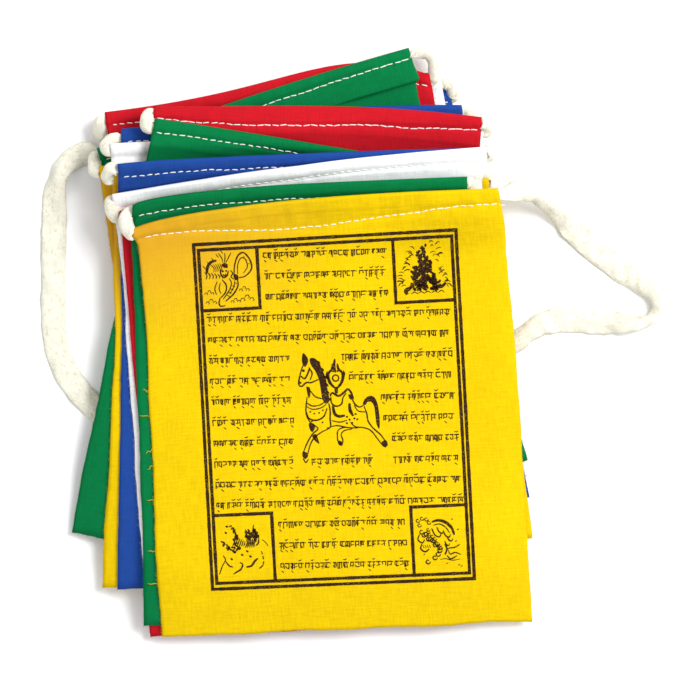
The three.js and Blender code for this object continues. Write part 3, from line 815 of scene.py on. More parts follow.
def turn_stations(k, right, width):
    """The tape from the hem of flag k + 1 up into the hem of flag k, gathered soft and full."""
    upper, upper_out = hem_end(k, right)
    lower, lower_out = hem_end(k + 1, right)
    lead = float(np.dot(upper[:2] - lower[:2], lower_out)) / MM
    reach, shown, swell = TURN_SHAPES.get(k, TURN_SHAPE)
    reach_lower = (reach + max(lead, 0)) / TURN_CURVE * MM
    reach_upper = (reach + max(-lead, 0)) / TURN_CURVE * MM
    first, last = lower[:2] - lower_out * TURN_LEAD * MM, upper[:2] - upper_out * TURN_LEAD * MM
    p0, p3 = lower[:2], upper[:2]
    side = np.array((-lower_out[1], lower_out[0]))
    side = side * np.sign(side.dot(p0 - p3)) * swell * MM
    p1, p2 = p0 + lower_out * reach_lower + side, p3 + upper_out * reach_upper - side
    midway = 0.5 + 0.02 * min(max(lead, -7), 7)
    folded = TAPE_IN_HEM * MM / width
    rows = [(*first, lower[2], TAPE_IN_HEM * MM, 0, folded)]
    steps = 26
    for i in range(steps + 1):
        s = i / steps
        p = (1 - s) ** 3 * p0 + 3 * (1 - s) ** 2 * s * p1 + 3 * (1 - s) * s ** 2 * p2 + s ** 3 * p3
        rise = float(smoothstep(s, midway - 0.3, midway + 0.3))
        z = lower[2] + (upper[2] - lower[2]) * rise
        full = math.sin(math.pi * s) ** 0.6
        wobble = noise.noise(Vector((s * 3.1, k * 1.7, 5.5)))
        wide = (TAPE_IN_HEM + (shown - TAPE_IN_HEM) * full + 1.6 * wobble * full) * MM
        own = folded + (TURN_SHARE - folded) * float(smoothstep(min(s, 1 - s), 0.0, 0.22))
        roll = TURN_ROLL * noise.noise(Vector((s * 2.3, k * 2.9, 8.5))) * full
        rows.append((*p, z, wide, roll, own))
    rows.append((*last, upper[2], TAPE_IN_HEM * MM, 0, folded))
    return np.array(rows)


def run_stations(k, width):
    """The tape inside a hem, from its left end to its right."""
    u = np.linspace(*TAPE_RUN, 30)
    points, _ = on_cloth(k, u, np.full(len(u), TAPE_DEPTH), -HEM_THICK / 2 * MM)
    same = np.ones((len(u), 1))
    return np.hstack((points, same * TAPE_IN_HEM * MM, 0 * same, same * TAPE_IN_HEM * MM / width))


def tie_stations(k, right, table, width):
    """The tape from a hem's end along a tie, to its cut end."""
    end, out = hem_end(k, right)
    start = end / MM + np.array((*MIDDLE, 0))
    inside = start - np.array((*out, 0)) * TURN_LEAD
    folded = TAPE_IN_HEM * MM / width
    rows = [(*inside, TAPE_IN_HEM, 0, folded), (*start, TAPE_IN_HEM, 0, folded)] + [(*r, 1.0) for r in table]
    rows = spline(rows, TIE_STEP)
    rows[:, 5] = np.clip(rows[:, 5], folded, 1.0)
    rows[:, 3] = np.clip(rows[:, 3], *TIE_WIDTHS)
    rows[:, :2] -= MIDDLE
    rows[:, :4] *= MM
    return rows


def joined(parts):
    """Several ribbons as one mesh."""
    verts, faces, uvs, count = [], [], [], 0
    for part_verts, part_faces, part_uvs, _ in parts:
        faces += [tuple(i + count for i in f) for f in part_faces]
        verts.append(part_verts)
        uvs.append(part_uvs)
        count += len(part_verts)
    return np.concatenate(verts), faces, np.concatenate(uvs)


# Block print

BLOCK_PRESS = (0.88, 1.12)


def round_points(a, b, radius):
    """Eight points of a circle, and the first one again."""
    return [(a + radius * math.cos(t), b + radius * math.sin(t)) for t in np.linspace(0, 2 * math.pi, 9)]


class Block:
    """Flat ink shapes in the print's own millimetres: a to the right, b down."""

    def __init__(self, seed):
        self.rng = random.Random(seed)
        self.verts, self.faces = [], []

    def stroke(self, points, wide, ends=0.75, step=0.9):
        """A brushed line through the points, narrower at its ends."""
        points = np.asarray(points, float)
        if len(points) == 2:
            count = max(int(np.linalg.norm(points[1] - points[0]) / (1.6 * step)), 1)
            line = points[0] + (points[1] - points[0]) * np.linspace(0, 1, count + 1)[:, None]
        else:
            line = spline(points, step)
        ahead = np.gradient(line, axis=0)
        ahead /= np.maximum(np.linalg.norm(ahead, axis=1, keepdims=True), 1e-6)
        side = np.column_stack((-ahead[:, 1], ahead[:, 0]))
        share = np.sin(np.pi * np.linspace(0, 1, len(line))) ** 0.5
        half = wide / 2 * (ends + (1 - ends) * share)
        half = half * np.array([self.rng.uniform(*BLOCK_PRESS) for _ in line])
        start = len(self.verts)
        for place, out, reach in zip(line, side, half):
            self.verts += [tuple(place - out * reach), tuple(place + out * reach)]
        self.faces += [(i, i + 1, i + 3, i + 2) for i in range(start, len(self.verts) - 2, 2)]

    def fill(self, points, grain=1.3):
        """A solid shape with a smooth outline through the points."""
        points = np.asarray(points, float)
        wrapped = np.vstack((points[-2:], points, points[:2]))
        outline = spline(wrapped, 0.7)
        first = np.linalg.norm(outline - points[0], axis=1).argmin()
        last = first + np.linalg.norm(outline[first + 2:] - points[0], axis=1).argmin() + 2
        outline = outline[first:last]
        low, high = outline.min(axis=0), outline.max(axis=0)
        inner = [(a, b) for a in np.arange(low[0], high[0], grain) for b in np.arange(low[1], high[1], grain)]
        count = len(outline)
        made = delaunay_2d_cdt([Vector(p) for p in outline] + [Vector(p) for p in inner], [],
                               [list(range(count))], 1, 1e-4)
        start = len(self.verts)
        self.verts += [tuple(v) for v in made[0]]
        self.faces += [tuple(i + start for i in face) for face in made[2]]

    def dot(self, a, b, radius):
        start = len(self.verts)
        self.verts += round_points(a, b, radius)[:-1]
        self.faces.append(tuple(range(start, len(self.verts))))

    def ring(self, a, b, radius, wide):
        self.stroke(round_points(a, b, radius), wide, 1.0)

    def moved(self, a, b, scale=1.0, weight=1.0):
        """The same block, drawn on from another place, at that scale and with strokes that much bolder."""
        return Corner(self, a, b, scale, weight)


class Corner:
    """A place in the print, and the scale of the figure drawn there."""

    def __init__(self, block, a, b, scale, weight):
        self.block, self.place, self.scale, self.weight = block, np.array((a, b)), scale, weight

    def at(self, points):
        return np.asarray(points, float) * self.scale + self.place

    def stroke(self, points, wide, ends=0.55):
        self.block.stroke(self.at(points), wide * self.weight, ends, 0.5)

    def fill(self, points):
        self.block.fill(self.at(points))

    def dot(self, a, b, radius):
        self.block.dot(*self.at((a, b)), radius)


def print_frame(block):
    """Two lines round the print and a box in each corner."""
    wide, high = PRINT_SIZE
    half = FRAME_LINE / 2
    for a0, b0 in ((half, half), (half + FRAME_SIDE_STEP, half + FRAME_STEP)):
        a1, b1 = wide - a0, high - b0
        top, foot = ((a0 - half, b0), (a1 + half, b0)), ((a1 + half, b1), (a0 - half, b1))
        for line in (top, ((a1, b0), (a1, b1)), foot, ((a0, b1), (a0, b0))):
            block.stroke(line, FRAME_LINE, 1.0)
    for place, (across, down) in BOXES.items():
        a = across if "left" in place else wide - across
        b = down if "top" in place else high - down
        side = half + FRAME_SIDE_STEP if "left" in place else wide - half - FRAME_SIDE_STEP
        edge = half + FRAME_STEP if "top" in place else high - half - FRAME_STEP
        block.stroke(((side, b), (a + (half if "left" in place else -half), b)), FRAME_LINE, 1.0)
        block.stroke(((a, edge), (a, b)), FRAME_LINE, 1.0)


def print_row(block, row, start, end):
    """Plain comb-like marks along a row: a short head bar with ticks under it. They spell nothing."""
    rng, a = block.rng, start
    left = rng.randint(2, 5)
    while a < end - 1.6:
        b = ROW_TOP + row * ROW_PITCH + ROW_SKEW * (a - PRINT_SIZE[0] / 2)
        wide = rng.uniform(1.3, 2.1)
        block.stroke(((a, b), (a + wide, b)), 0.58, 0.85)
        for share in rng.sample((0.12, 0.5, 0.88), rng.choice((1, 2, 2, 3))):
            foot = rng.uniform(1.2, 2.7)
            at = a + wide * share
            block.stroke(((at, b), (at + rng.uniform(-0.3, 0.2), b + foot)), 0.5, 0.8)
        kind = rng.random()
        if kind < 0.35:
            block.stroke(((a + 0.1, b + 1.5), (a + wide * 0.9, b + 1.2)), 0.46, 0.7)
        elif kind < 0.6:
            block.stroke(((a + 0.1, b + 1.0), (a + wide * 0.4, b + 1.9), (a + wide, b + 1.7)), 0.46, 0.7, 0.5)
        if rng.random() < 0.25:
            cap = ((a + wide * 0.1, b - 1.3), (a + wide * 0.5, b - 1.0), (a + wide * 0.9, b - 1.5))
            block.stroke(cap, 0.44, 0.7, 0.5)
        if rng.random() < 0.25:
            block.stroke(((a + wide * 0.2, b + 2.9), (a + wide * 0.75, b + 3.7)), 0.5, 0.7)
        a += wide + 0.28
        left -= 1
        if left == 0:
            block.dot(a + 0.1, b + 0.1, 0.27)
            a += rng.uniform(0.7, 1.3)
            left = rng.randint(2, 5)


def wind_horse(c):
    """A horse that trots to the left, with a flaming jewel on its saddle."""
    c.fill([(2.7, 5.6), (2.3, 3.0), (2.9, 0.2), (4.0, 1.2), (4.9, 3.0), (4.4, 5.0), (3.6, 6.0)])
    c.fill([(5.6, 2.6), (7.6, 2.6), (9.3, 4.6), (10.6, 7.8), (11.8, 11.6), (12.3, 16.4), (12.8, 20.4),
            (11.2, 21.6), (9.9, 19.6), (9.4, 15.4), (8.9, 11.6), (7.6, 8.0), (5.9, 5.2)])
    for a, b in ((9.0, 4.2), (10.4, 7.2), (11.4, 10.4), (11.9, 13.6), (12.2, 16.8), (12.5, 19.4)):
        c.stroke([(a - 0.8, b - 0.4), (a + 0.2, b), (a + 0.7, b + 1.0)], 0.6, 0.3)
    c.stroke([(2.6, 5.4), (1.5, 8.2), (0.7, 11.2), (0.5, 13.2), (1.6, 14.0), (2.6, 13.2), (3.8, 12.4),
              (5.4, 12.6), (7.2, 12.0), (8.8, 11.4)], 0.6)
    c.stroke([(1.5, 9.6), (3.0, 10.8), (4.4, 8.8), (5.4, 6.4)], 0.7)
    c.stroke([(5.0, 6.2), (6.2, 8.8), (5.2, 11.6)], 0.5)
    c.dot(2.7, 7.5, 0.6)
    c.dot(1.1, 12.4, 0.5)
    c.fill([(3.6, 14.0), (4.8, 14.4), (5.2, 16.4), (4.4, 19.0), (3.8, 17.0)])
    c.stroke([(5.2, 16.0), (7.0, 18.4), (10.2, 19.6)], 0.5)
    c.stroke([(3.6, 18.4), (3.2, 21.0), (2.8, 23.8), (3.2, 26.6), (4.6, 29.4)], 0.55)
    c.stroke([(3.2, 20.8), (5.6, 22.2), (8.6, 22.0), (10.8, 20.8)], 0.5)
    c.stroke([(3.0, 22.2), (5.6, 23.6), (9.0, 23.2), (11.4, 21.8)], 0.45)
    c.stroke([(3.0, 24.6), (3.9, 27.2), (6.8, 28.2), (10.0, 26.8), (11.6, 23.4)], 0.6)
    for a, b in ((4.6, 24.6), (6.2, 25.4), (8.2, 25.2), (9.8, 24.2), (5.0, 28.6), (9.4, 29.2)):
        c.dot(a, b, 0.38)
    c.stroke([(12.4, 21.4), (12.8, 24.6), (12.6, 28.0), (12.6, 31.2), (11.0, 31.6)], 0.6)
    c.stroke([(4.6, 29.4), (7.4, 31.6), (5.0, 33.8), (2.6, 37.4), (0.9, 41.0)], 0.55)
    c.stroke([(12.4, 31.6), (8.4, 33.4), (5.4, 35.6), (3.6, 38.8), (2.6, 42.0)], 0.5)
    c.fill([(0.6, 40.8), (2.6, 41.6), (2.4, 43.4), (1.4, 44.0), (0.4, 42.8)])
    c.stroke([(0.6, 43.6), (1.6, 45.4), (2.8, 44.0)], 0.5)
    c.fill([(3.8, 29.2), (5.9, 29.6), (6.2, 31.2), (4.9, 33.0), (3.9, 31.4)])
    c.fill([(4.9, 34.4), (6.4, 33.8), (7.1, 35.6), (7.6, 38.0), (6.2, 37.0), (5.2, 35.8)])
    c.stroke([(12.6, 31.2), (15.4, 30.8), (19.6, 31.8), (24.0, 32.2)], 0.5)
    c.stroke([(20.4, 31.8), (17.6, 31.8), (15.6, 32.8), (15.2, 35.0), (15.4, 37.4), (16.6, 39.0),
              (17.4, 37.0), (16.8, 34.6), (18.2, 33.0), (21.6, 32.4)], 0.5)
    c.fill([(15.2, 37.0), (16.9, 37.4), (16.7, 39.2), (15.6, 38.8)])
    c.stroke([(22.0, 19.8), (23.2, 22.4), (25.0, 23.6), (26.8, 22.8)], 0.6)
    c.stroke([(26.8, 23.2), (27.8, 26.4), (28.2, 29.6), (30.2, 32.6), (33.0, 35.4), (35.2, 38.6)], 0.55)
    c.stroke([(20.8, 29.6), (22.8, 31.6), (26.4, 32.2), (29.2, 33.6), (31.4, 36.6), (33.4, 39.6)], 0.5)
    c.fill([(33.2, 38.4), (35.2, 37.8), (35.8, 39.8), (34.8, 40.8), (33.6, 40.2)])
    c.fill([(26.4, 22.6), (27.2, 20.6), (29.2, 19.2), (31.2, 19.8), (32.4, 22.4), (32.9, 26.4), (33.0, 30.0),
            (32.6, 33.0), (31.6, 30.8), (31.3, 27.0), (31.0, 23.6), (29.8, 21.6), (28.4, 21.6), (27.4, 23.0)])
    c.stroke([(13.2, 18.6), (14.0, 17.2), (16.6, 18.6), (19.0, 17.2), (20.6, 16.0), (22.0, 17.8),
              (22.4, 20.2)], 0.8)
    c.stroke([(13.4, 18.8), (13.6, 21.4), (15.4, 22.8), (17.6, 22.0), (18.4, 19.4), (19.8, 17.6)], 0.6)
    c.fill([(20.6, 18.2), (22.6, 18.6), (22.8, 20.4), (21.2, 20.2)])
    c.stroke([(14.0, 22.4), (14.6, 25.8), (16.2, 27.0), (18.8, 26.8)], 1.15, 0.5)
    c.stroke([(20.9, 21.8), (21.0, 24.6), (22.2, 27.2)], 1.2, 0.5)
    c.stroke([(13.2, 28.6), (16.4, 29.4), (19.6, 28.8)], 0.45)
    c.stroke([(22.8, 22.8), (24.4, 25.2), (27.6, 25.8)], 0.45)
    for a, b in ((19.6, 27.4), (20.6, 28.6), (22.6, 28.2), (23.8, 28.6), (19.4, 30.0), (21.6, 30.0),
                 (23.2, 26.4)):
        c.dot(a, b, 0.45)
    jewel = 15.8
    c.stroke([(jewel, 17.6), (jewel, 14.8)], 1.3, 0.8)
    c.block.ring(*c.at((jewel, 11.2)), 1.3, 0.6)
    flames = (([(0.4, 15.4), (2.3, 13.2), (3.1, 10.2), (2.1, 7.8)], 1.1, 0.35),
              ([(2.5, 9.0), (1.3, 7.4), (1.0, 5.2)], 0.9, 0.3),
              ([(2.9, 11.8), (3.7, 9.8), (3.3, 8.2)], 0.6, 0.3))
    for side in (-1, 1):
        for points, wide, ends in flames:
            c.stroke([(jewel + side * a, b) for a, b in points], wide, ends)
        c.dot(jewel + side * 0.9, 8.4, 0.42)
    c.stroke([(15.9, 9.0), (15.4, 6.4), (15.9, 3.2)], 1.1, 0.2)


def cloud(c, a, b, size):
    """A small curled cloud."""
    puff = ((-0.55, 0.0), (-0.3, -0.55), (0.25, -0.6), (0.55, 0.0), (0.15, 0.15))
    for turn, lift in ((-1.1, 0.2), (0.0, -0.5), (1.1, 0.2)):
        c.stroke([(a + (turn + out) * size, b + (lift + down) * size) for out, down in puff], 0.36, 0.5)


def curl(c, a, b, size, wide=0.42):
    """A small open curl."""
    turn = ((1.0, 0.0), (0.6, 0.8), (-0.5, 0.8), (-0.9, -0.2), (-0.2, -0.8), (0.4, -0.3))
    c.stroke([(a + out * size, b + down * size) for out, down in turn], wide, 0.6)


def scribble(c, a, b, reach, turn, wide, bump):
    """A short slanted stroke round a point, bent a little to bump."""
    out, down = reach * math.cos(turn), reach * math.sin(turn)
    c.stroke([(a - out, b - down), (a + bump[0], b + bump[1]), (a + out, b + down)], wide, 0.6)


def garuda(c):
    """A garuda that swoops down with raised wings, over clouds."""
    for i in range(5):
        a, b = 1.6 + i * 1.9, 7.6 - i * 1.5
        c.stroke([(a - 0.7, b - 1.6), (a + 0.4, b)], 0.36, 0.5)
    c.stroke([(2.4, 9.4), (2.9, 6.8), (4.4, 4.8), (6.8, 4.2)], 1.3, 0.5)
    for i in range(6):
        a = 1.5 + i * 1.35
        c.stroke([(a, 8.6 + 0.3 * i), (a + 0.9, 10.2 + 0.2 * i), (a + 0.5, 11.8)], 0.5, 0.35)
    for i in range(5):
        c.stroke([(4.4 + i * 0.9, 5.8 - i * 0.1), (5.6 + i * 0.8, 7.6), (5.2 + i * 0.9, 9.0)], 0.36, 0.4)
    c.fill([(8.6, 6.2), (10.0, 5.4), (11.4, 6.2), (11.2, 7.6), (9.8, 7.4)])
    c.stroke([(8.4, 8.0), (8.2, 9.8), (9.4, 11.4), (10.8, 10.6), (11.4, 8.6)], 0.7)
    c.dot(9.2, 8.8, 0.4)
    c.dot(10.5, 8.7, 0.4)
    c.stroke([(9.1, 10.0), (9.9, 10.8), (10.4, 9.8)], 0.55)
    for lean in (-1.6, 0.2, 2.0):
        c.stroke([(9.9 + lean * 0.3, 5.4), (10.2 + lean * 0.8, 3.2), (10.0 + lean * 1.5, 1.2)], 0.45, 0.35)
    c.stroke([(13.6, 11.2), (14.2, 6.4), (15.8, 2.6), (18.2, 1.6), (20.6, 4.8), (21.0, 8.4), (18.4, 11.2),
              (15.6, 11.8)], 0.65)
    c.stroke([(15.2, 10.2), (15.4, 6.6), (16.8, 3.8), (18.6, 4.2), (19.4, 7.4), (17.6, 10.0)], 0.45)
    for i in range(4):
        c.stroke([(16.6 + i * 1.1, 2.2 + i * 1.3), (17.6 + i * 0.9, 1.6 + i * 1.6)], 0.7, 0.5)
    c.fill([(13.4, 10.4), (15.2, 10.6), (15.4, 12.6), (14.0, 12.8)])
    c.stroke([(12.2, 8.6), (13.2, 9.8), (12.4, 11.2), (13.6, 12.4)], 0.5)
    c.stroke([(8.6, 12.2), (10.2, 14.6), (9.8, 17.4), (7.6, 19.8)], 0.6)
    c.stroke([(11.6, 11.8), (12.4, 14.0), (11.2, 17.0), (8.6, 20.4)], 0.5)
    c.stroke([(15.0, 12.6), (15.0, 15.2), (13.0, 18.4), (9.6, 21.2)], 0.65)
    c.stroke([(13.8, 12.8), (13.4, 15.2), (11.4, 18.4)], 0.4)
    for i in range(5):
        c.stroke([(14.6 - i * 0.8, 14.2 + i * 1.3), (13.6 - i * 0.8, 13.6 + i * 1.3)], 0.6, 0.6)
    c.stroke([(6.6, 12.8), (5.4, 15.8), (6.0, 18.4)], 0.45)
    c.stroke([(7.8, 13.4), (7.2, 16.0), (7.8, 18.0)], 0.45)
    c.stroke([(7.4, 19.6), (6.8, 21.8), (7.4, 23.2), (9.4, 23.0)], 0.6)
    for a, b, size in ((3.0, 17.8, 1.2), (3.6, 21.6, 1.4), (17.6, 17.0, 1.3), (18.6, 21.0, 1.7),
                       (13.8, 21.6, 1.2)):
        cloud(c, a, b, size)


def dragon(c):
    """A dragon coiled in a steep heap, its scales dark, with flames at both sides."""
    rng = c.block.rng
    for i in range(210):
        down = math.sqrt((i + 0.5) / 210)
        b = 1.8 + 19.6 * down
        a = 10.4 + rng.uniform(-1, 1) * (0.7 + 6.3 * down ** 1.2) + 0.8 * math.sin(b * 0.8)
        lean, long = rng.uniform(0, math.pi), rng.uniform(0.5, 1.1)
        scribble(c, a, b, long, lean, 1.05, (0.2, 0.2))
    c.stroke([(4.6, 20.4), (2.6, 21.4), (3.2, 23.0)], 1.7, 0.7)
    c.stroke([(15.4, 20.6), (17.8, 20.4), (19.6, 18.8)], 1.3, 0.6)
    for i in range(46):
        side = -1 if i % 2 else 1
        b = rng.uniform(1.5, 20.5)
        a = 10.6 + side * (2.0 + 0.33 * b + rng.uniform(0.0, 3.6))
        turn, long = rng.uniform(-0.9, 0.9), rng.uniform(0.6, 1.4)
        c.stroke([(a - long * side * math.cos(turn), b - long * math.sin(turn)), (a, b - 0.5),
                  (a + long * side * math.cos(turn), b + long * math.sin(turn))], rng.uniform(0.3, 0.6), 0.35)
    for i in range(5):
        left = 5.0 + i * 2.9 + rng.uniform(-0.5, 0.5)
        top = 22.0 + rng.uniform(-0.4, 0.3)
        c.stroke([(left, 22.8), (6.4 + i * 2.8, top), (7.6 + i * 2.8, 23.0)], 0.4)


def tiger(c):
    """A tiger that turns its head, worn in the print: head, stripes and tail are dark, the rest broken."""
    rng = c.block.rng
    for _ in range(44):
        lean, out = rng.uniform(0, 2 * math.pi), rng.uniform(0, 1) ** 0.5
        a, b = 15.0 + 2.9 * out * math.cos(lean), 6.6 + 2.7 * out * math.sin(lean)
        scribble(c, a, b, 0.7, rng.uniform(0, math.pi), 0.85, (0, 0.15))
    c.stroke([(15.4, 4.2), (15.8, 2.4)], 0.55, 0.4)
    c.stroke([(12.9, 5.6), (12.2, 4.2)], 0.6, 0.5)
    c.stroke([(17.6, 8.2), (17.4, 10.0), (16.2, 11.2)], 0.6, 0.5)
    for i in range(5):
        c.stroke([(12.6 + i * 0.8, 8.2), (12.8 + i * 0.7, 10.0), (11.8 + i * 0.9, 11.8)], 0.6, 0.4)
    for points, count, spread in (([(5.0, 2.6), (7.2, 4.4), (8.2, 6.8), (7.6, 9.4)], 22, 0.8),
                                  ([(2.8, 9.6), (4.8, 11.6), (7.4, 12.2), (10.4, 11.0)], 20, 0.6)):
        track = spline(points, 0.15)
        for _ in range(count):
            place = track[rng.randrange(len(track))]
            a, b = place + np.array((rng.gauss(0, spread), rng.gauss(0, spread))) * 0.8
            scribble(c, a, b, 0.6, rng.uniform(0, math.pi), 0.8, (0.1, 0.1))
    for i in range(6):
        stripe = [(8.4 + i * 0.7, 7.0 + 0.4 * i), (7.6 + i * 0.8, 9.0 + 0.3 * i), (6.6 + i * 0.9, 11.2)]
        c.stroke(stripe, 0.5, 0.35)
    for a, b in ((4.2, 5.2), (7.2, 13.4), (10.4, 14.6), (13.8, 15.4), (6.0, 16.2), (12.6, 13.2)):
        c.stroke([(a - 0.4, b - 0.3), (a, b + 0.2), (a + 0.5, b + 0.3)], 0.8, 0.7)
    c.stroke([(0.6, 22.4), (2.0, 19.0), (3.4, 16.6), (2.6, 14.6)], 0.5, 0.6)
    c.stroke([(3.4, 17.0), (4.8, 19.0), (6.4, 19.6)], 0.6, 0.5)
    c.stroke([(11.8, 19.8), (14.0, 19.4), (15.4, 17.6), (16.8, 16.4)], 0.9, 0.6)
    c.stroke([(9.2, 17.8), (10.4, 18.6), (9.6, 20.6), (7.6, 21.8), (6.4, 22.6)], 0.7, 0.5)
    for a, b, lean in ((18.6, 14.2, 0.2), (19.0, 16.2, 0.1), (19.0, 18.4, -0.2), (18.0, 20.0, -0.9)):
        c.stroke([(a - lean, b - 0.7), (a + lean, b + 0.7)], 0.7, 0.6)
    c.stroke([(18.8, 8.6), (20.2, 9.8), (21.4, 11.6)], 0.36, 0.5)


def snow_lion(c):
    """A crouched snow lion with a curly mane and a barred back."""
    for a, b in ((2.0, 3.6), (3.8, 2.8), (5.6, 3.2), (2.6, 5.6), (6.6, 4.6)):
        curl(c, a, b, 0.85, 0.5)
    c.stroke([(7.8, 4.4), (10.6, 3.8), (13.6, 4.8), (16.0, 7.2), (17.0, 10.2)], 1.25, 0.5)
    c.stroke([(8.4, 5.8), (11.0, 5.4), (13.4, 6.8), (15.2, 9.4)], 0.5)
    for a, b, long in ((7.6, 7.0, 4.2), (9.8, 6.6, 3.0), (12.4, 8.2, 3.2), (13.8, 10.4, 2.6),
                       (12.8, 12.6, 2.2)):
        c.stroke([(a, b), (a + 0.5 * long * 0.6, b + long * 0.7), (a + long * 0.75, b + long * 0.9),
                  (a + long * 0.95, b + long * 0.5)], 0.62, 0.45)
    for i in range(9):
        t = i / 8
        curl(c, 3.4 + 7.2 * t, 8.4 + 6.6 * t + 0.7 * math.sin(i * 2.4), 1.0, 0.55)
        curl(c, 5.6 + 5.2 * t + 0.6 * math.cos(i * 1.7), 7.6 + 7.8 * t, 0.8, 0.45)
    c.stroke([(2.4, 9.4), (1.6, 11.6), (3.4, 13.0), (4.4, 11.6)], 0.6)
    c.stroke([(3.2, 13.4), (2.6, 15.4), (4.4, 16.8), (6.2, 15.6)], 0.7)
    for i in range(4):
        c.stroke([(3.6 + i * 0.9, 14.0), (4.0 + i * 0.9, 15.2)], 0.5)
    c.stroke([(12.8, 13.8), (13.6, 16.0), (12.6, 18.4)], 0.8, 0.5)
    c.stroke([(13.6, 16.0), (15.0, 15.6), (17.0, 15.4), (19.2, 14.2)], 0.55, 0.5)
    c.stroke([(14.2, 16.4), (14.8, 18.2), (17.0, 17.6), (19.4, 18.6)], 0.55, 0.5)
    c.stroke([(13.4, 18.6), (15.0, 20.2), (17.8, 18.9)], 0.6, 0.5)
    for a, b in ((10.6, 16.4), (9.8, 18.0), (8.4, 19.4), (5.4, 21.0)):
        curl(c, a, b, 1.0, 0.6)
    c.stroke([(10.4, 20.4), (12.6, 20.0), (15.6, 20.8), (19.0, 20.4)], 0.36, 0.5)
    for a, b in ((16.4, 3.6), (18.6, 8.0), (17.6, 12.8), (18.4, 22.8), (19.4, 23.4), (13.4, 22.0),
                 (4.0, 17.9)):
        c.stroke([(a - 0.4, b + 0.2), (a + 0.4, b - 0.2)], 0.6, 0.6)


def full_print(seed):
    block = Block(seed)
    print_frame(block)
    for row, spans in enumerate(ROWS):
        for start, end in spans:
            print_row(block, row, start, end)
    wide, high = PRINT_SIZE
    wind_horse(block.moved(39.6, 46.6, 0.98, 1.12))
    garuda(block.moved(3.0, 3.4, 0.98))
    dragon(block.moved(wide - 24.6, 3.4, 0.96))
    tiger(block.moved(3.2, high - 28.6, 0.98))
    snow_lion(block.moved(wide - 24.2, high - 28.4, 0.96))
    return block


def plain_print(seed):
    """Frame and boxes alone, for the flags whose print is hidden by the flags above."""
    block = Block(seed)
    print_frame(block)
    return block


def lay_print(k, block, lift):
    """The ink as a mesh on the face of flag k."""
    flag = FLAGS[k]
    corners = np.array(PRINT_CORNERS)
    if k:
        side = (1 - PRINT_SIZE[0] / flag.width) / 2
        top, foot = PRINT_SHARES
        corners = np.array(((side, top), (1 - side, top), (1 - side, foot), (side, foot)))
    place = np.array(block.verts) / PRINT_SIZE
    s, t = place[:, :1], place[:, 1:]
    ends = flag_point(flag, corners[:, 0], corners[:, 1])
    target, share = ((c[0] * (1 - s) + c[1] * s) * (1 - t) + (c[3] * (1 - s) + c[2] * s) * t
                     for c in (ends, corners))
    for _ in range(8):
        miss = target - flag_point(flag, share[:, 0], share[:, 1])
        share = share + np.column_stack((miss @ heading(flag.foot) / flag.width,
                                         miss @ heading(flag.lean - 90) / flag.drop))
    verts, uvs = on_cloth(k, share[:, 0], share[:, 1] * flag.drop, lift)
    faces = []
    for face in block.faces:
        a, b, c = verts[list(face[:3])]
        faces.append(face if np.cross(b - a, c - a)[2] > 0 else face[::-1])
    return new_mesh(f"print_{k + 1:02d}", verts, faces, uvs)


def block_ink(name, ink, cloth_colour, pitch):
    """Ink that soaked unevenly into the weave, so that specks of the cloth show in it."""
    n = Nodes(name)
    cloth, threads, slubs, height = weave_nodes(n, pitch)
    bare = n.ranged(n.noise(cloth, 1500.0, 2.0), 0.52, 0.68, 0.0, 0.45)
    patchy = n.ranged(n.noise(cloth, 120.0, 2.0), 0.38, 0.62, 0.25, 1.0)
    worn = n.math("MULTIPLY", bare, patchy)
    colour = n.mix(worn, ink, shade(cloth_colour, 0.6))
    return n.finish(colour, height, bump=0.4, roughness=0.85, sheen=0.03, sheen_tint=(1, 1, 1))


# Sewing and raw edges, with Geometry Nodes

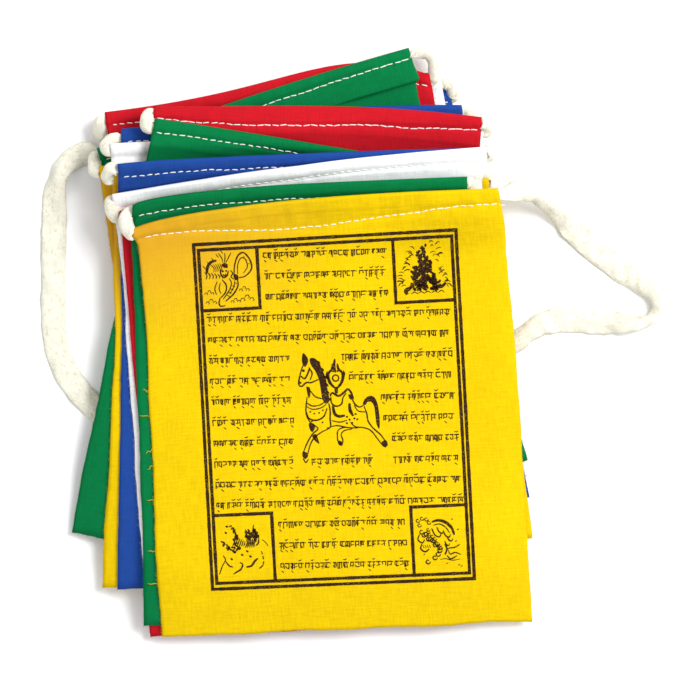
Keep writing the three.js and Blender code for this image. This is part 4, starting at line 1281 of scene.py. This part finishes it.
class Tree(NodeMaker):
    """A Geometry Nodes tree with named inputs."""

    def __init__(self, name, inputs):
        self.tree = bpy.data.node_groups.new(name, "GeometryNodeTree")
        self.tree.interface.new_socket("Geometry", in_out="INPUT", socket_type="NodeSocketGeometry")
        self.tree.interface.new_socket("Geometry", in_out="OUTPUT", socket_type="NodeSocketGeometry")
        self.ids = {}
        for label, kind in inputs.items():
            socket = self.tree.interface.new_socket(label, in_out="INPUT", socket_type=kind)
            self.ids[label] = socket.identifier
        self.inputs = self.add("NodeGroupInput").outputs

    def point(self, x=0.0, y=0.0, z=0.0):
        return self.add("ShaderNodeCombineXYZ", {0: x, 1: y, 2: z}).outputs[0]

    def thread(self, start, middle, end, radius, steps, sides):
        """A short closed thread, bent from start to end."""
        bend = self.add("GeometryNodeCurveQuadraticBezier",
                        {"Resolution": steps, "Start": start, "Middle": middle, "End": end})
        section = self.add("GeometryNodeCurvePrimitiveCircle", {"Resolution": sides, "Radius": radius})
        return self.add("GeometryNodeCurveToMesh", {"Curve": bend.outputs[0], "Fill Caps": True,
                                                    "Profile Curve": section.outputs[0]}).outputs[0]

    def between(self, low, high):
        """An uneven vector for each thread, from the tree's seed."""
        return self.add("FunctionNodeRandomValue", {"Min": low, "Max": high, "Seed": self.inputs["Seed"]},
                        data_type="FLOAT_VECTOR").outputs[0]

    def repeated(self, thread, spacing, swing, size):
        """The thread once every spacing along the line, turned its way and then by the swing."""
        line = self.add("GeometryNodeMeshToCurve", {0: self.inputs["Geometry"]}).outputs[0]
        line = self.add("GeometryNodeResampleCurve", {"Curve": line, "Length": spacing}, mode="LENGTH")
        ahead = self.add("GeometryNodeInputTangent")
        facing = self.add("FunctionNodeAlignRotationToVector", {"Vector": ahead.outputs[0]}, axis="X")
        turned = self.add("FunctionNodeRotateRotation", {"Rotation": facing.outputs[0], "Rotate By": swing})
        placed = self.add("GeometryNodeInstanceOnPoints", {"Points": line.outputs[0], "Instance": thread,
                                                           "Rotation": turned.outputs[0], "Scale": size})
        self.output(placed.outputs[0], self.inputs["Thread"])

    def output(self, geometry, material):
        real = self.add("GeometryNodeRealizeInstances", {0: geometry}).outputs[0]
        painted = self.add("GeometryNodeSetMaterial", {"Geometry": real, "Material": material}).outputs[0]
        smooth = self.add("GeometryNodeSetShadeSmooth", {"Geometry": painted}).outputs[0]
        self.add("NodeGroupOutput", {0: smooth})

    def applied(self, name, lines, values):
        """The tree run along polylines, as a plain mesh."""
        mesh = bpy.data.meshes.new(name + "_line")
        verts, edges = [], []
        for line in lines:
            edges += [(len(verts) + i, len(verts) + i + 1) for i in range(len(line) - 1)]
            verts += [tuple(p) for p in line]
        mesh.from_pydata(verts, edges, [])
        guide = bpy.data.objects.new(name + "_line", mesh)
        bpy.context.scene.collection.objects.link(guide)
        modifier = guide.modifiers.new("nodes", "NODES")
        modifier.node_group = self.tree
        for label, value in values.items():
            modifier[self.ids[label]] = value
        depsgraph = bpy.context.evaluated_depsgraph_get()
        made = bpy.data.meshes.new_from_object(guide.evaluated_get(depsgraph))
        made.name = name
        guide.modifiers.remove(modifier)
        bpy.data.objects.remove(guide)
        piece = bpy.data.objects.new(name, made)
        bpy.context.scene.collection.objects.link(piece)
        return piece


def stitch_tree():
    """Short arched stitches, one every pitch along a line."""
    t = Tree("hem_stitches", {"Pitch": "NodeSocketFloat", "Stitch length": "NodeSocketFloat",
                              "Thread radius": "NodeSocketFloat", "Unevenness": "NodeSocketFloat",
                              "Seed": "NodeSocketInt", "Thread": "NodeSocketMaterial"})
    radius, most = t.inputs["Thread radius"], t.inputs["Unevenness"]
    half = t.math("MULTIPLY", t.inputs["Stitch length"], 0.5)
    low, high = t.math("MULTIPLY", radius, -1.6), t.math("MULTIPLY", radius, 2.6)
    stitch = t.thread(t.point(t.math("MULTIPLY", half, -1.0), 0.0, low), t.point(0.0, 0.0, high),
                      t.point(half, 0.0, low), radius, 4, 6)
    swing = t.between(t.point(0.0, 0.0, t.math("MULTIPLY", most, -1.0)), t.point(0.0, 0.0, most))
    size = t.between(t.point(t.math("SUBTRACT", 1.0, most), 0.9, 0.9), t.point(1.06, 1.1, 1.1))
    t.repeated(stitch, t.inputs["Pitch"], swing, size)
    return t


def fringe_tree():
    """Thread ends that stick out of a raw edge, to the line's right."""
    t = Tree("raw_edge", {"Spacing": "NodeSocketFloat", "Length": "NodeSocketFloat",
                          "Radius": "NodeSocketFloat", "Seed": "NodeSocketInt",
                          "Thread": "NodeSocketMaterial"})
    length, radius = t.inputs["Length"], t.inputs["Radius"]
    middle = t.point(t.math("MULTIPLY", length, 0.35), t.math("MULTIPLY", length, -0.5), 0.0)
    tip = t.point(0.0, t.math("MULTIPLY", length, -1.0), t.math("MULTIPLY", radius, -1.5))
    end = t.thread(t.point(), middle, tip, radius, 2, 3)
    swing = t.between((0.0, -0.2, -0.7), (0.0, 0.2, 0.7))
    size = t.between((0.3, 0.15, 0.6), (1.0, 1.0, 1.0))
    t.repeated(end, t.inputs["Spacing"], swing, size)
    return t


def sewing_thread(name, colour):
    n = Nodes(name)
    place = n.add("ShaderNodeTexCoord").outputs["Object"]
    twist = n.noise(place, 2500.0, 2.0)
    colour_out = n.mix(twist, shade(colour, 0.86), shade(colour, 1.06))
    return n.finish(colour_out, twist, bump=0.4, roughness=0.8, sheen=0.05, sheen_tint=colour)


def tube(points, radius, sides=5):
    """Verts and faces of a thin thread through points, in metres."""
    line = spline(np.asarray(points, float) / MM, 0.7) * MM
    ahead = np.gradient(line, axis=0)
    verts, faces = [], []
    for i, (place, way) in enumerate(zip(line, ahead)):
        way = Vector(way).normalized()
        side = way.cross(Vector((0.1, 0.2, 1))).normalized()
        up = side.cross(way)
        thin = radius * (1.0 if 0 < i < len(line) - 1 else 0.4)
        for turn in range(sides):
            angle = 2 * math.pi * turn / sides
            verts.append(tuple(Vector(place) + (side * math.cos(angle) + up * math.sin(angle)) * thin))
    for i in range(len(line) - 1):
        for j in range(sides):
            a, b = i * sides + j, i * sides + (j + 1) % sides
            faces.append((a, b, b + sides, a + sides))
    faces += [tuple(range(sides))[::-1], tuple(range(len(verts) - sides, len(verts)))]
    return verts, faces


# Operators

class FLAGS_OT_stage(bpy.types.Operator):
    """Set the camera over the pile, the pale floor and the soft light"""
    bl_idname = "prayer_flags.stage"
    bl_label = "Camera, floor and light"

    def execute(self, context):
        settings = context.scene.flag_stage
        scene = context.scene
        scene.view_settings.view_transform = "Standard"
        camera = bpy.data.objects.new("camera", bpy.data.cameras.new("camera"))
        camera.data.sensor_width = SENSOR
        camera.data.lens = SENSOR * CAMERA_HEIGHT / VIEW_SPAN
        camera.data.clip_end = 20
        camera.location = (*((np.array(VIEW_MIDDLE) - MIDDLE) * MM), CAMERA_HEIGHT)
        scene.collection.objects.link(camera)
        scene.camera = camera

        corners = ((-1, -1), (1, -1), (1, 1), (-1, 1))
        places = [(x * FLOOR_SIDE, y * FLOOR_SIDE, FLOOR_LEVEL) for x, y in corners]
        floor = new_mesh("floor", places, [(0, 1, 2, 3)])
        n = Nodes("floor_paper")
        place = n.add("ShaderNodeTexCoord").outputs["Object"]
        grain = n.noise(place, 900.0, 2.0)
        colour = n.mix(grain, shade(settings.floor, 0.99), settings.floor)
        floor.data.materials.append(n.finish(colour, grain, bump=0.02, roughness=0.95, sheen=0.0,
                                             sheen_tint=(1, 1, 1)))

        light = bpy.data.lights.new("key", "AREA")
        light.energy = settings.key
        light.size = LAMP_SIZE
        lamp = bpy.data.objects.new("key", light)
        lamp.location = LAMP_PLACE
        lamp.rotation_euler = (-lamp.location).to_track_quat("-Z", "Y").to_euler()
        scene.collection.objects.link(lamp)
        world = bpy.data.worlds.new("studio")
        world.use_nodes = True
        sky = world.node_tree.nodes["Background"]
        sky.inputs["Color"].default_value = (1, 1, 1, 1)
        sky.inputs["Strength"].default_value = settings.fill
        scene.world = world
        return {"FINISHED"}


class FLAGS_OT_cloth(bpy.types.Operator):
    """Cut the fifteen flags and lay them as the pile lies"""
    bl_idname = "prayer_flags.cloth"
    bl_label = "Cotton flags"

    def execute(self, context):
        settings = context.scene.flag_cloth
        for k in range(len(FLAGS)):
            dye = DYES[k % len(DYES)]
            cloth = make_cloth(k, settings)
            colour = tuple(getattr(settings, dye))
            dyed = cotton(f"cotton_{dye}", colour, settings.thread, PAINTED_CORNER_SHADE.get(dye))
            cloth.data.materials.append(dyed)
        return {"FINISHED"}


class FLAGS_OT_tape(bpy.types.Operator):
    """Run the tape through the hems, round its turns and out to its two ties"""
    bl_idname = "prayer_flags.tape"
    bl_label = "Cotton tape"

    def execute(self, context):
        settings = context.scene.flag_tape
        cotton_tape = tape_cotton("cotton_tape", tuple(settings.colour))
        size = (settings.width, settings.thickness)
        ties = (("tie_left", BOTTOM, False, LEFT_TIE), ("tie_right", 0, True, RIGHT_TIE))
        for name, k, right, table in ties:
            verts, faces, uvs, centres = ribbon(tie_stations(k, right, table, settings.width), *size)
            piece = new_mesh(name, verts, faces, uvs)
            self.finish(piece, cotton_tape)
        parts = [ribbon(turn_stations(k, k % 2 == 1, settings.width), *size, start=k * TAPE_STEP)
                 for k in range(BOTTOM)]
        parts += [ribbon(run_stations(k, settings.width), *size, start=(k + 0.5) * TAPE_STEP)
                  for k in range(len(FLAGS))]
        self.finish(new_mesh("tape_turns", *joined(parts)), cotton_tape)
        return {"FINISHED"}

    def finish(self, piece, material):
        piece.data.materials.append(material)
        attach(piece, "root")
        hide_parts("tape")


class FLAGS_OT_print(bpy.types.Operator):
    """Print frame and corner boxes on every flag, and rows of plain marks and the figures on the top one"""
    bl_idname = "prayer_flags.print"
    bl_label = "Block print"

    def execute(self, context):
        settings, cloth = context.scene.flag_print, context.scene.flag_cloth
        for k in range(len(FLAGS)):
            block = full_print(settings.seed) if k == 0 else plain_print(settings.seed + k)
            piece = lay_print(k, block, settings.lift)
            dye = DYES[k % len(DYES)]
            ink = block_ink(f"ink_on_{dye}", tuple(settings.ink), tuple(getattr(cloth, dye)), cloth.thread)
            piece.data.materials.append(ink)
            cloths[k]["mates"].append(piece)
        return {"FINISHED"}


class FLAGS_OT_sew(bpy.types.Operator):
    """Sew a row of stitches along each hem and fray the raw edges"""
    bl_idname = "prayer_flags.sew"
    bl_label = "Stitches and raw edges"

    def execute(self, context):
        settings = context.scene.flag_stitch
        thread = sewing_thread("white_thread", tuple(settings.colour))
        stitches, fringe = stitch_tree(), fringe_tree()
        for k, flag in enumerate(FLAGS):
            u = np.linspace(0.04 if k == 0 else 0.026, 0.98, 90)
            wander = 0.3 * soft_noise(u * 9, 0 * u, k + 40.5) + 0.14 * soft_noise(u * 40, 0 * u, k + 44.5)
            sewn_line, _ = on_cloth(k, u, stitch_depth(k, u) + wander, SEWN_LIFT)
            sewn = stitches.applied(f"stitches_{k + 1:02d}", [sewn_line], {
                "Pitch": settings.pitch, "Stitch length": settings.length * LONG_STITCHES.get(k, 1.0),
                "Thread radius": settings.radius, "Unevenness": UNEVENNESS, "Seed": settings.seed + k,
                "Thread": thread})
            down = np.linspace(flag.drop - 1, 9, 150)
            left, _ = on_cloth(k, 0 * down, down, RAW_EDGE_LIFT)
            right, _ = on_cloth(k, 0 * down + 1, down[::-1], RAW_EDGE_LIFT)
            across = np.linspace(1, 0, 120)
            foot, _ = on_cloth(k, across, 0 * across + flag.drop, RAW_EDGE_LIFT)
            for line in (left, right, foot):
                line[:, 2] = np.maximum(line[:, 2], LOWEST + settings.fringe / 3)
            dye = f"cotton_{DYES[k % len(DYES)]}"
            frayed = fringe.applied(f"raw_edge_{k + 1:02d}", [left[::-1], right[::-1], foot[::-1]], {
                "Spacing": RAW_EDGE_PITCH, "Length": settings.fringe, "Radius": RAW_EDGE_RADIUS,
                "Seed": settings.seed + k, "Thread": bpy.data.materials[dye]})
            cloths[k]["mates"].extend((sewn, frayed))
        return {"FINISHED"}


class FLAGS_OT_threads(bpy.types.Operator):
    """Leave the ends of the sewing thread and the frayed threads of the top flag's left edge"""
    bl_idname = "prayer_flags.threads"
    bl_label = "Loose threads"

    def execute(self, context):
        thread = bpy.data.materials["white_thread"]
        rng = random.Random(context.scene.flag_stitch.seed)
        for number, (k, u, reach) in enumerate(TAILS):
            start, _ = on_cloth(k, [u], [float(stitch_depth(k, u))], 0.0002)
            self.strand(f"thread_tail_{number + 1}", k, start[0], reach, TAIL_RADIUS,
                        thread, "thread_white", rng)
        for number, depth in enumerate(FRAYS):
            start, _ = on_cloth(0, [0.001], [depth], -0.0001)
            reach = (-rng.uniform(2.2, 4.2), rng.uniform(-2.6, 0.6), -0.6)
            self.strand(f"frayed_thread_{number + 1}", 0, start[0], reach, FRAY_RADIUS,
                        bpy.data.materials["cotton_yellow"], "cotton_yellow", rng)
        return {"FINISHED"}

    def strand(self, name, k, start, reach, radius, material, slot, rng):
        reach = np.array(reach) * MM
        bend = np.array((rng.uniform(-0.9, 0.9), rng.uniform(-0.9, 0.9), 0.3)) * MM
        points = [start, start + reach * 0.35 + bend, start + reach * 0.7 - bend * 0.6, start + reach]
        verts, faces = tube(points, radius)
        piece = new_mesh(name, verts, faces, np.array(verts)[:, :2])
        piece.data.materials.append(material)
        cloths[k]["mates"].append(piece)


class FLAGS_OT_lay(bpy.types.Operator):
    """Attach each flag's cloth, and what is printed and sewn on it, to the root body, and hide the flag's
    solid
    """
    bl_idname = "prayer_flags.lay"
    bl_label = "Lay the pile"

    def execute(self, context):
        for k, flag in enumerate(FLAGS):
            cloth = cloths[k]["object"]
            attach(cloth, "root")
            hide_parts(flag_name(k))
            mates = cloths[k]["mates"]
            for mate in mates:
                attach(mate, "root")
        return {"FINISHED"}


class FLAGS_PT_panel(bpy.types.Panel):
    bl_label = "Prayer Flags"
    bl_idname = "FLAGS_PT_panel"
    bl_space_type = "VIEW_3D"
    bl_region_type = "UI"
    bl_category = "Prayer Flags"

    def draw(self, context):
        for group in SETTINGS:
            box = self.layout.box()
            settings = getattr(context.scene, group)
            for name in settings.bl_rna.properties.keys():
                if name not in ("rna_type", "name"):
                    box.prop(settings, name)
        for operator in OPERATORS:
            self.layout.operator(operator.bl_idname)


SETTINGS = {"flag_stage": StageSettings, "flag_cloth": ClothSettings, "flag_tape": TapeSettings,
            "flag_print": PrintSettings, "flag_stitch": StitchSettings}
OPERATORS = (FLAGS_OT_stage, FLAGS_OT_cloth, FLAGS_OT_tape, FLAGS_OT_print, FLAGS_OT_sew, FLAGS_OT_threads,
             FLAGS_OT_lay)
CLASSES = (*SETTINGS.values(), *OPERATORS, FLAGS_PT_panel)


def register():
    for cls in CLASSES:
        bpy.utils.register_class(cls)
    for name, group in SETTINGS.items():
        setattr(bpy.types.Scene, name, PointerProperty(type=group))


def unregister():
    for name in SETTINGS:
        delattr(bpy.types.Scene, name)
    for cls in reversed(CLASSES):
        bpy.utils.unregister_class(cls)


def main():
    register()
    bpy.ops.prayer_flags.stage()
    bpy.ops.prayer_flags.cloth()
    bpy.ops.prayer_flags.tape()
    bpy.ops.prayer_flags.print()
    bpy.ops.prayer_flags.sew()
    bpy.ops.prayer_flags.threads()
    bpy.ops.prayer_flags.lay()


if __name__ == "__main__":
    main()
